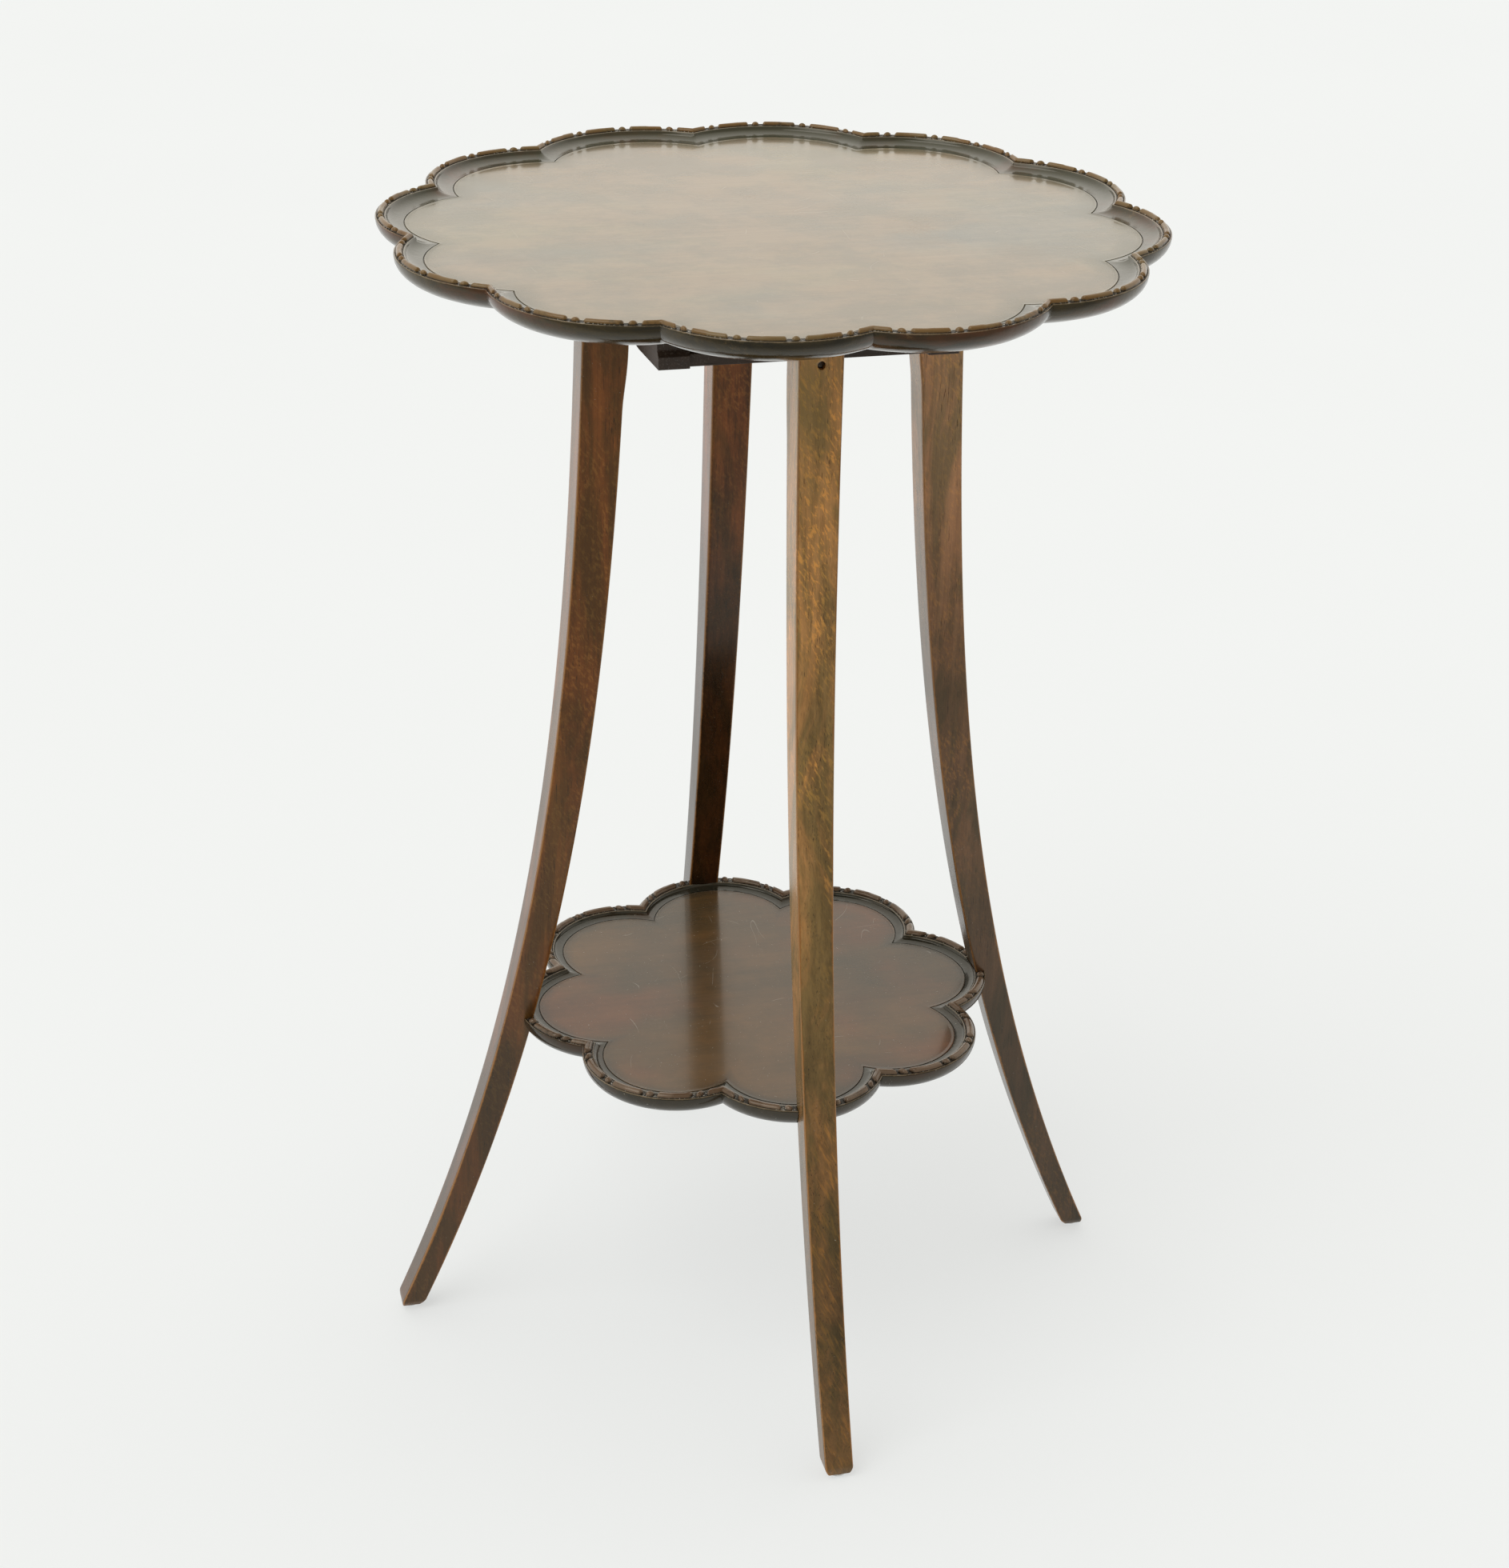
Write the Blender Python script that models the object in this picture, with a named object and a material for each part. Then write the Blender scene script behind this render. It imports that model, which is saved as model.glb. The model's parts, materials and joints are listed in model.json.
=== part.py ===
"""Two-tier tilt-top table in mahogany.

A twelve-lobed dished top turns on two steel pins at the back of a small square frame. Four square
sabre legs are screwed to the frame's faces, and an eight-lobed dished shelf is let in between them.
The origin is on the floor under the middle of the table. +Z is up and the legs stand on the X and Y
axes: the front leg on -Y, the right leg on +X. The top's front edge lifts, and at 90 degrees the top
hangs upright behind the back leg. All sizes are in metres.
"""
import math

import bpy
import numpy as np
from mathutils import Matrix, Vector

# Driving sizes
HEIGHT = 0.720            # floor to the crest of the top's rim
TOP_RADIUS = 0.2285       # to the outside of a lobe
TOP_CUSP_RADIUS = 0.2132  # to the outside of a cusp
TOP_LOBES = 12
TOP_THICK = 0.0185
TOP_DISH = 0.0070         # crest down to the flat field

SHELF_CREST = 0.2152      # floor to the crest of the shelf's rim
SHELF_RADIUS = 0.1535
SHELF_CUSP_RADIUS = 0.1331
SHELF_LOBES = 8
SHELF_THICK = 0.0152
SHELF_DISH = 0.0057

GAP = 0.0003              # between pieces that touch
LEG_GAP = 0.0004          # round a leg in the shelf's notch

# Leg: radius of the outer face as a cubic Bezier from the top to the floor, and its section
LEG_SWEEP = (0.1128, 0.1170, 0.1302, 0.2378)
LEG_WIDTH = (0.0265, 0.0175)
LEG_DEPTH = (0.0270, 0.0151)
FOOT_ROUND = 0.0016
FOOT_RISE = 0.0040        # height over which the foot's edges round in
SEAT_BLEND = (0.0450, 0.0030)  # the inner face turns straight between these drops below the side rails
LEG_LEVELS = 20

# Frame of four rails under the top
RAIL_THICK = 0.0180
FRAME_HALF = 0.0865       # middle of the table to a rail's outer face
RAIL_BOTTOM = 0.6618
SIDE_RAIL_BOTTOM = 0.6574
LIP = 0.0072              # height of the proud band along the front and back rails
LIP_OUT = 0.0030
SIDE_RAIL_NOSE = 0.0900   # how far the side rails reach forward

# Tilt
PIVOT_Y = 0.0990
PIVOT_Z = 0.6800
PIN_RADIUS = 0.0030
LUG_RADIUS = 0.0118
LUG_INNER_X = 0.0300
NOSE_RADIUS = 0.0200      # rear end of a side rail, about the pivot
PIN_IN_LUG = 0.0130
PIN_HOLE_IN_RAIL = 0.0200
BACK_LEG_EASE = (0.0160, 0.6945)  # the back leg's slope: its run behind the pivot and its low end

# Catch
BOLT_WIDTH = 0.0070
BOLT_THICK = 0.0035
BOLT_FRONT = -0.0650
BOLT_BACK = -0.0210
PAD_HALF = 0.0125
PAD_FRONT = -0.0645
PAD_BACK = -0.0235
PLATE_THICK = 0.0012
PAD_THICK = 0.0072
BRIDGE_LENGTH = 0.0060
BRIDGE_WALL = 0.0020
BRIDGE_MIDDLES = (-0.0580, -0.0320)
KNOB_Y = -0.0400
MORTISE_DEPTH = 0.0100
STRIKER_HALF = 0.0130
STRIKER_BOTTOM = 0.6835
STRIKER_TOP = 0.6985
STRIKER_SCREW_X = 0.0095
CATCH_SCREW_X = 0.0091
CATCH_SCREW_INSET = 0.0040  # from the plate's ends
KNOB_NECK = 0.0108        # knob's foot to its seat in the bolt
KNOB_STEM = 0.0011
BOLT_EASE = 0.0008

# Screws: length, shank radius and head radius, then how deep each hole goes
LEG_SCREW = (0.0380, 0.0016, 0.0026)
CORNER_SCREW = (0.0320, 0.0019, 0.0036)
LUG_SCREW = (0.0370, 0.0018, 0.0034)
CATCH_SCREW = (0.0150, 0.0013, 0.0026)
LEG_SCREW_HEIGHTS = (0.6675, 0.6830)
LEG_SCREW_SINK = 0.0020
CORNER_SCREW_SINK = 0.0004
LUG_SCREW_SINK = 0.0030
CATCH_SCREW_SINK = 0.0002
LUG_SCREW_SPOTS = (0.0060, 0.0170)  # from the lug's inner end
CORNER_SCREW_INSET = 0.0065         # behind the cross rail's face
LEG_PILOT = 0.0160
CORNER_PILOT = 0.0165
LUG_PILOT = 0.0086
CATCH_PILOT = 0.0066
STRIKER_PILOT = 0.0150

# Round pieces
GLIDE_HEIGHT = 0.0026
GLIDE_RADIUS = 0.0058
NAIL_RADIUS = 0.0010
NAIL_TIP = 0.0125
DOWEL_RADIUS = 0.0025
DOWEL_LENGTH = 0.0240
DOWEL_NIB = 0.0008
PIN_NIB = 0.0005
RING = 12                 # sides of a small round piece

TOP_UNDERSIDE = HEIGHT - TOP_THICK
FRAME_TOP = TOP_UNDERSIDE - GAP
TOP_FIELD = HEIGHT - TOP_DISH
SHELF_UNDERSIDE = SHELF_CREST - SHELF_THICK
SHELF_FIELD = SHELF_CREST - SHELF_DISH
RAIL_INNER = FRAME_HALF - RAIL_THICK
BAND_TOP = RAIL_BOTTOM + LIP
CORNER_SCREW_Y = FRAME_HALF - LIP_OUT - CORNER_SCREW_INSET
CORNER_SCREW_Z = (RAIL_BOTTOM + FRAME_TOP) / 2

SIDES = {"front": -math.pi / 2, "right": 0.0, "back": math.pi / 2, "left": math.pi}


# Scene and materials

def clear_scene():
    for item in list(bpy.data.objects):
        bpy.data.objects.remove(item)


def finish(name, colour, roughness, metallic):
    """One Principled material."""
    made = bpy.data.materials.new(name)
    made.use_nodes = True
    shader = made.node_tree.nodes["Principled BSDF"]
    shader.inputs["Base Color"].default_value = (*colour, 1.0)
    shader.inputs["Roughness"].default_value = roughness
    shader.inputs["Metallic"].default_value = metallic
    return made


# Meshes

def solid(name, verts, faces, material, smooth_angle=None):
    """An object from points and faces, in the world frame."""
    mesh = bpy.data.meshes.new(name)
    mesh.from_pydata([tuple(map(float, v)) for v in verts], [], faces)
    mesh.update()
    if smooth_angle is not None:
        mesh.shade_smooth()
        mesh.set_sharp_from_angle(angle=smooth_angle)
    made = bpy.data.objects.new(name, mesh)
    bpy.context.scene.collection.objects.link(made)
    if material is not None:
        mesh.materials.append(material)
    return made


def ring_faces(rows, count):
    """Quads between stacked closed rings of count points, the first ring lowest."""
    return [
        (r * count + i, r * count + (i + 1) % count, (r + 1) * count + (i + 1) % count, (r + 1) * count + i)
        for r in range(rows - 1)
        for i in range(count)
    ]


def stack(name, rings, material, smooth_angle=None):
    """A closed body from rings of equal length, bottom ring first, each turning the same way about +Z."""
    count = len(rings[0])
    verts = np.concatenate(rings)
    faces = ring_faces(len(rings), count)
    faces.append(tuple(range(count - 1, -1, -1)))
    faces.append(tuple(range((len(rings) - 1) * count, len(rings) * count)))
    return solid(name, verts, faces, material, smooth_angle)


def turned_mesh(profile, sides=RING):
    """Points and faces of a turned body about +Z. profile is (radius, height) from pole to pole, going up."""
    angles = np.arange(sides) * 2 * math.pi / sides
    verts = [(0.0, 0.0, profile[0][1])]
    for radius, height in profile[1:-1]:
        verts += [(radius * math.cos(a), radius * math.sin(a), height) for a in angles]
    verts.append((0.0, 0.0, profile[-1][1]))
    rows = len(profile) - 2
    faces = [tuple(1 + i for i in f) for f in ring_faces(rows, sides)]
    last = len(verts) - 1
    top_row = 1 + (rows - 1) * sides
    for i in range(sides):
        j = (i + 1) % sides
        faces.append((0, 1 + j, 1 + i))
        faces.append((last, top_row + i, top_row + j))
    return verts, faces


def pointing(origin, direction):
    """The placement that carries +Z to direction, at origin."""
    turn = Vector((0, 0, 1)).rotation_difference(Vector(direction)).to_matrix().to_4x4()
    return Matrix.Translation(Vector(origin)) @ turn


def turned(name, profile, origin, direction, material, sides=RING):
    """A turned piece from its profile, with its axis along direction."""
    made = solid(name, *turned_mesh(profile, sides), material, smooth_angle=math.radians(40))
    made.matrix_world = pointing(origin, direction)
    return made


def rod_profile(radius, length, nib):
    """A plain rod with its two ends chamfered by nib."""
    return [
        (0, 0),
        (radius - nib, 0),
        (radius, nib),
        (radius, length - nib),
        (radius - nib, length),
        (0, length),
    ]


def prism(name, outline, axis, low, high, material):
    """A flat outline carried along a world axis. Outline points are the other two coordinates, in the
    order Y,Z for X, then X,Z for Y, then X,Y for Z."""
    outline = np.asarray(outline, float)
    x, y = outline.T
    area = np.sum(x * np.roll(y, -1) - np.roll(x, -1) * y)
    turns_left = area > 0
    if turns_left == (axis == "Y"):
        outline = outline[::-1]
    column = "XYZ".index(axis)
    rings = [np.insert(outline, column, level, axis=1) for level in (low, high)]
    return stack(name, rings, material)


def box(name, low, high, material):
    """A box between two corners."""
    corners = [(low[0], low[1]), (high[0], low[1]), (high[0], high[1]), (low[0], high[1])]
    return prism(name, corners, "Z", low[2], high[2], material)


def hide_cutter(item):
    item.hide_render = True
    item.display_type = "WIRE"


def combine(target, tool, operation):
    """A Boolean on target. The tool stays as a hidden guide."""
    hide_cutter(tool)
    step = target.modifiers.new(tool.name, "BOOLEAN")
    step.operation = operation
    step.object = tool
    step.solver = "EXACT"


def drill(target, holes):
    """Cuts turned holes. holes is a list of (profile, mouth, direction into the piece)."""
    verts, faces = [], []
    for profile, mouth, direction in holes:
        points, quads = turned_mesh(profile)
        place = pointing(mouth, direction)
        start = len(verts)
        verts += [tuple(place @ Vector(p)) for p in points]
        faces += [tuple(start + i for i in f) for f in quads]
    combine(target, solid(target.name + "_holes", verts, faces, None), "DIFFERENCE")


def hole(radius, depth, head_radius=0.0, head_depth=0.0):
    """A hole from 2 mm above its mouth down to depth. With a head it is countersunk."""
    start = -0.002
    if not head_radius:
        return [(0, start), (radius, start), (radius, depth), (0, depth)]
    return [
        (0, start),
        (head_radius, start),
        (head_radius, head_depth),
        (radius, head_depth + head_radius - radius),
        (radius, depth),
        (0, depth),
    ]


# Screws

def sunk_hole(screw, sink, depth):
    """A countersunk clearance hole for a screw whose head lies sink below the mouth."""
    _, radius, head_radius = screw
    return hole(radius + GAP, depth, head_radius + GAP, sink + GAP)


def pilot_hole(screw, depth):
    """A plain hole for the screw's shank in the second piece."""
    return hole(screw[1] + GAP, depth)


def screw_mesh(name, screw, material):
    """A slotted countersunk wood screw. Its head is at the origin and it points along +Z."""
    length, radius, head_radius = screw
    slot_depth = 0.35 * (head_radius - radius)
    cone = head_radius - radius
    profile = [
        (0, 0),
        (head_radius, 0),
        (head_radius, 0.0003),
        (radius, 0.0003 + cone),
        (radius, length - 2.5 * radius),
        (0, length),
    ]
    body = turned("screw_blank", profile, (0, 0, 0), (0, 0, 1), material)
    half = 0.14 * head_radius
    reach = head_radius + 0.001
    slot = box("screw_slot", (-reach, -half, -0.001), (reach, half, slot_depth), None)
    combine(body, slot, "DIFFERENCE")
    bpy.context.view_layer.update()
    cut = bpy.data.meshes.new_from_object(body.evaluated_get(bpy.context.evaluated_depsgraph_get()))
    cut.name = name
    for used in (body, slot):
        bpy.data.objects.remove(used)
    return cut


def place_screw(name, mesh, head, direction):
    made = bpy.data.objects.new(name, mesh)
    bpy.context.scene.collection.objects.link(made)
    made.matrix_world = pointing(head, direction)
    return made


# Lobed boards

def lobed_outline(lobes, radius, cusp_radius, inset, per_lobe, first_cusp):
    """Points round a lobed board, inset from its edge. Each lobe is a circle's arc through two cusps,
    and an inset lobe is the same circle made smaller, up to where it meets its neighbour."""
    half_angle = math.pi / lobes
    half_chord = cusp_radius * math.sin(half_angle)
    rise = radius - cusp_radius * math.cos(half_angle)
    arc = (half_chord**2 + rise**2) / (2 * rise)
    centre = radius - arc
    local = np.linspace(-half_angle, half_angle, per_lobe, endpoint=False)
    reach = centre * np.cos(local) + np.sqrt((arc - inset) ** 2 - (centre * np.sin(local)) ** 2)
    middles = first_cusp + half_angle + np.arange(lobes) * 2 * half_angle
    angle = (middles[:, None] + local[None, :]).ravel()
    reach = np.tile(reach, lobes)
    return np.stack([reach * np.cos(angle), reach * np.sin(angle)], 1)


def lobed_board(name, outline, profile, material):
    """A closed board: profile is (inset, height) from the underside's edge, out round the rim and in to
    the field's edge. The two flats close on a middle point."""
    rings = []
    for inset, height in profile:
        plan = outline(inset)
        rings.append(np.column_stack([plan, np.full(len(plan), height)]))
    count = len(rings[0])
    verts = np.concatenate(rings + [np.array([[0, 0, profile[0][1]], [0, 0, profile[-1][1]]])])
    faces = ring_faces(len(rings), count)
    under = len(verts) - 2
    over = len(verts) - 1
    last = (len(rings) - 1) * count
    for i in range(count):
        j = (i + 1) % count
        faces.append((under, j, i))
        faces.append((over, last + i, last + j))
    return solid(name, verts, faces, material, smooth_angle=math.radians(28))


def top_profile():
    """The top's rim in section: bowl below, crest bead, cove and flat field."""
    depth = TOP_THICK - 0.0040
    reach = 0.0255
    turn = np.linspace(0.0, math.pi / 2, 6)
    bowl = [(reach * (1 - math.sin(a)), TOP_UNDERSIDE + depth * (1 - math.cos(a))) for a in turn]
    crest = [
        (0.0000, HEIGHT - 0.0029),
        (0.0014, HEIGHT - 0.0022),
        (0.0022, HEIGHT - 0.0004),
        (0.0040, HEIGHT),
        (0.0060, HEIGHT - 0.0006),
    ]
    cove = [(0.0074, HEIGHT - 0.0024), (0.0118, HEIGHT - 0.0056), (0.0170, TOP_FIELD)]
    return bowl + crest + cove


def shelf_profile():
    """The shelf's rim in section: a steeper side, crest bead, cove and flat field."""
    depth = SHELF_THICK - 0.0034
    reach = 0.0100
    turn = np.linspace(0.0, math.pi / 2, 5)
    side = [(reach * (1 - math.sin(a)), SHELF_UNDERSIDE + depth * (1 - math.cos(a))) for a in turn]
    crest = [
        (0.0000, SHELF_CREST - 0.0025),
        (0.0012, SHELF_CREST - 0.0018),
        (0.0020, SHELF_CREST - 0.0003),
        (0.0034, SHELF_CREST),
        (0.0050, SHELF_CREST - 0.0006),
    ]
    cove = [(0.0062, SHELF_CREST - 0.0022), (0.0098, SHELF_CREST - 0.0047), (0.0138, SHELF_FIELD)]
    return side + crest + cove


# Legs

def leg_faces(z):
    """Inner radius, outer radius and half width of a leg at a height."""
    t = 1 - z / HEIGHT
    a, b, c, d = LEG_SWEEP
    s = 1 - t
    outer = a * s**3 + 3 * b * s * s * t + 3 * c * s * t * t + d * t**3
    depth = LEG_DEPTH[0] + (LEG_DEPTH[1] - LEG_DEPTH[0]) * t
    half = (LEG_WIDTH[0] + (LEG_WIDTH[1] - LEG_WIDTH[0]) * t) / 2
    seat_low = SIDE_RAIL_BOTTOM - SEAT_BLEND[0]
    seat_high = SIDE_RAIL_BOTTOM - SEAT_BLEND[1]
    flat = min(max((z - seat_low) / (seat_high - seat_low), 0.0), 1.0)
    flat = flat * flat * (3 - 2 * flat)
    inner = (outer - depth) * (1 - flat) + (FRAME_HALF + GAP) * flat
    return inner, outer, half


def leg_ring(z, angle, grow=0.0, outward=0.0):
    """Four corners of a leg's section at a height, on the side at that angle."""
    inner, outer, half = leg_faces(z)
    inner -= grow
    outer += grow + outward
    half += grow
    radial = np.array([inner, outer, outer, inner])
    across = np.array([-half, -half, half, half])
    cosine = math.cos(angle)
    sine = math.sin(angle)
    return np.stack([radial * cosine - across * sine, radial * sine + across * cosine, np.full(4, z)], 1)


def make_leg(side, angle, wood):
    """A sabre leg: level sections from the glide up to the frame."""
    low = GLIDE_HEIGHT + GAP
    rings = [
        leg_ring(low, angle, grow=-FOOT_ROUND),
        leg_ring(low + 0.3 * FOOT_RISE, angle, grow=-0.3 * FOOT_ROUND),
        leg_ring(low + FOOT_RISE, angle),
    ]
    seat_low = SIDE_RAIL_BOTTOM - SEAT_BLEND[0]
    seat_high = SIDE_RAIL_BOTTOM - SEAT_BLEND[1]
    levels = np.concatenate([
        np.linspace(low + 5 * FOOT_RISE, seat_low, LEG_LEVELS),
        np.linspace(seat_low, seat_high, 4)[1:],
        [FRAME_TOP],
    ])
    rings += [leg_ring(z, angle) for z in levels]
    return stack("leg_" + side, rings, wood, smooth_angle=math.radians(30))


def outward(angle):
    return Vector((math.cos(angle), math.sin(angle), 0.0))


def leg_work(leg, angle):
    """Holes in a leg: two for its screws, one for the shelf's dowel and one for the glide's nail."""
    out = outward(angle)
    holes = []
    for z in LEG_SCREW_HEIGHTS:
        outer = leg_faces(z)[1]
        mouth = out * outer + Vector((0, 0, z))
        holes.append((sunk_hole(LEG_SCREW, LEG_SCREW_SINK, LEG_DEPTH[0] + 0.007), mouth, -out))
    dowel_z = shelf_dowel_height()
    inner = leg_faces(dowel_z)[0]
    mouth = out * (inner - 0.001) + Vector((0, 0, dowel_z))
    holes.append((hole(DOWEL_RADIUS + GAP, DOWEL_LENGTH / 2 + 0.001), mouth, out))
    foot = glide_place(angle)
    nail_hole = hole(NAIL_RADIUS + GAP, NAIL_TIP - 0.0015)
    holes.append((nail_hole, foot + Vector((0, 0, GLIDE_HEIGHT)), (0, 0, 1)))
    drill(leg, holes)


def glide_place(angle):
    inner, outer, _ = leg_faces(GLIDE_HEIGHT)
    return outward(angle) * (inner + outer) / 2


def shelf_dowel_height():
    return (SHELF_UNDERSIDE + SHELF_FIELD) / 2


# Build

clear_scene()
mahogany_top = finish("mahogany_top", (0.115, 0.062, 0.036), 0.28, 0.0)
mahogany_shelf = finish("mahogany_shelf", (0.100, 0.055, 0.034), 0.30, 0.0)
mahogany_leg = finish("mahogany_leg", (0.135, 0.066, 0.034), 0.34, 0.0)
mahogany_frame = finish("mahogany_frame", (0.085, 0.050, 0.033), 0.60, 0.0)
brass = finish("brass", (0.62, 0.44, 0.20), 0.32, 1.0)
steel = finish("steel", (0.38, 0.37, 0.36), 0.38, 1.0)
glide_metal = finish("glide_metal", (0.60, 0.59, 0.57), 0.25, 1.0)
birch = finish("birch_dowel", (0.52, 0.40, 0.25), 0.65, 0.0)

leg_screw = screw_mesh("leg_screw", LEG_SCREW, steel)
corner_screw = screw_mesh("corner_screw", CORNER_SCREW, steel)
lug_screw = screw_mesh("lug_screw", LUG_SCREW, steel)
catch_screw = screw_mesh("catch_screw", CATCH_SCREW, brass)


# Top

top_board = lobed_board(
    "top_board",
    lambda inset: lobed_outline(TOP_LOBES, TOP_RADIUS, TOP_CUSP_RADIUS, inset, 8, 0.0),
    top_profile(),
    mahogany_top,
)


# Shelf, notched round the legs

def make_shelf():
    shelf = lobed_board(
        "shelf_board",
        lambda inset: lobed_outline(
            SHELF_LOBES, SHELF_RADIUS, SHELF_CUSP_RADIUS, inset, 10, math.pi / SHELF_LOBES
        ),
        shelf_profile(),
        mahogany_shelf,
    )
    levels = (SHELF_UNDERSIDE - 0.004, SHELF_FIELD, SHELF_CREST + 0.004)
    verts, faces = [], []
    holes = []
    for angle in SIDES.values():
        rings = [leg_ring(z, angle, grow=LEG_GAP, outward=0.02) for z in levels]
        start = len(verts)
        verts += list(np.concatenate(rings))
        body = ring_faces(len(levels), 4) + [(3, 2, 1, 0), (8, 9, 10, 11)]
        faces += [tuple(start + i for i in f) for f in body]
        out = outward(angle)
        z = shelf_dowel_height()
        mouth = out * leg_faces(z)[0] + Vector((0, 0, z))
        holes.append((hole(DOWEL_RADIUS + GAP, DOWEL_LENGTH / 2 + 0.001), mouth, -out))
    combine(shelf, solid("shelf_notches", verts, faces, None), "DIFFERENCE")
    drill(shelf, holes)
    return shelf


shelf_board = make_shelf()


# Legs with their screws, dowels and glides

def make_dowel(side, angle):
    """A plain dowel half in the leg and half in the shelf's edge."""
    out = outward(angle)
    z = shelf_dowel_height()
    start = leg_faces(z)[0] - DOWEL_LENGTH / 2
    profile = rod_profile(DOWEL_RADIUS, DOWEL_LENGTH, DOWEL_NIB)
    turned("shelf_dowel_" + side, profile, out * start + Vector((0, 0, z)), out, birch)


def make_glide(side, angle):
    """A domed nail glide: a flat spot on the floor, a dome, and its nail up into the foot."""
    flat = 0.45 * GLIDE_RADIUS
    profile = [
        (0, 0),
        (flat, 0),
        (0.80 * GLIDE_RADIUS, 0.30 * GLIDE_HEIGHT),
        (GLIDE_RADIUS, 0.85 * GLIDE_HEIGHT),
        (GLIDE_RADIUS, GLIDE_HEIGHT),
        (NAIL_RADIUS, GLIDE_HEIGHT),
        (NAIL_RADIUS, 0.8 * NAIL_TIP),
        (0, NAIL_TIP),
    ]
    turned("glide_" + side, profile, glide_place(angle), (0, 0, 1), glide_metal, sides=20)


legs = {}
for side, angle in SIDES.items():
    legs[side] = make_leg(side, angle, mahogany_leg)
    leg_work(legs[side], angle)
    make_dowel(side, angle)
    make_glide(side, angle)
    for level, z in zip(("lower", "upper"), LEG_SCREW_HEIGHTS):
        head = outward(angle) * (leg_faces(z)[1] - LEG_SCREW_SINK) + Vector((0, 0, z))
        place_screw("leg_screw_" + side + "_" + level, leg_screw, head, -outward(angle))


def ease_back_leg(leg):
    """The back leg's top is sloped off behind the pivot, so that the top can swing down past it."""
    run, low = BACK_LEG_EASE
    over = FRAME_TOP + 0.004
    outline = [
        (PIVOT_Y, over),
        (PIVOT_Y, FRAME_TOP - GAP),
        (PIVOT_Y + run, low),
        (PIVOT_Y + 2 * run, low),
        (PIVOT_Y + 2 * run, over),
    ]
    reach = LEG_WIDTH[0]
    combine(leg, prism("back_leg_slope", outline, "X", -reach, reach, None), "DIFFERENCE")


ease_back_leg(legs["back"])


# Frame

def cross_rail_outline(sign):
    """Section of the front or back rail in Y,Z: a proud band along the bottom, set back above it."""
    outer = FRAME_HALF
    inset = FRAME_HALF - LIP_OUT
    points = [
        (RAIL_INNER, RAIL_BOTTOM),
        (outer, RAIL_BOTTOM),
        (outer, BAND_TOP),
        (inset, BAND_TOP + 0.0012),
        (inset, FRAME_TOP),
        (RAIL_INNER, FRAME_TOP),
    ]
    return [(sign * y, z) for y, z in points]


def side_rail_outline():
    """A side rail in Y,Z: bevelled nose in front, underside dropping to full depth, and a rear end rounded
    about the pivot."""
    nose = [
        (-SIDE_RAIL_NOSE, RAIL_BOTTOM),
        (-0.0380, SIDE_RAIL_BOTTOM),
        (PIVOT_Y + 0.0060, SIDE_RAIL_BOTTOM),
    ]
    turn = np.radians(np.arange(-50, 91, 20))
    rear = [(PIVOT_Y + NOSE_RADIUS * math.cos(a), PIVOT_Z + NOSE_RADIUS * math.sin(a)) for a in turn]
    top = [
        (PIVOT_Y - 0.0060, FRAME_TOP),
        (-FRAME_HALF, FRAME_TOP),
        (-FRAME_HALF, BAND_TOP + 0.0030),
        (-SIDE_RAIL_NOSE, BAND_TOP),
    ]
    return nose + rear + top


def mortise_limits():
    """Half width, bottom and top of the slot that takes the bolt."""
    bolt_top = FRAME_TOP - PAD_THICK - PLATE_THICK - 2 * GAP
    return BOLT_WIDTH / 2 + 0.0007, bolt_top - BOLT_THICK - 0.0007, bolt_top + 0.0007


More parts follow.
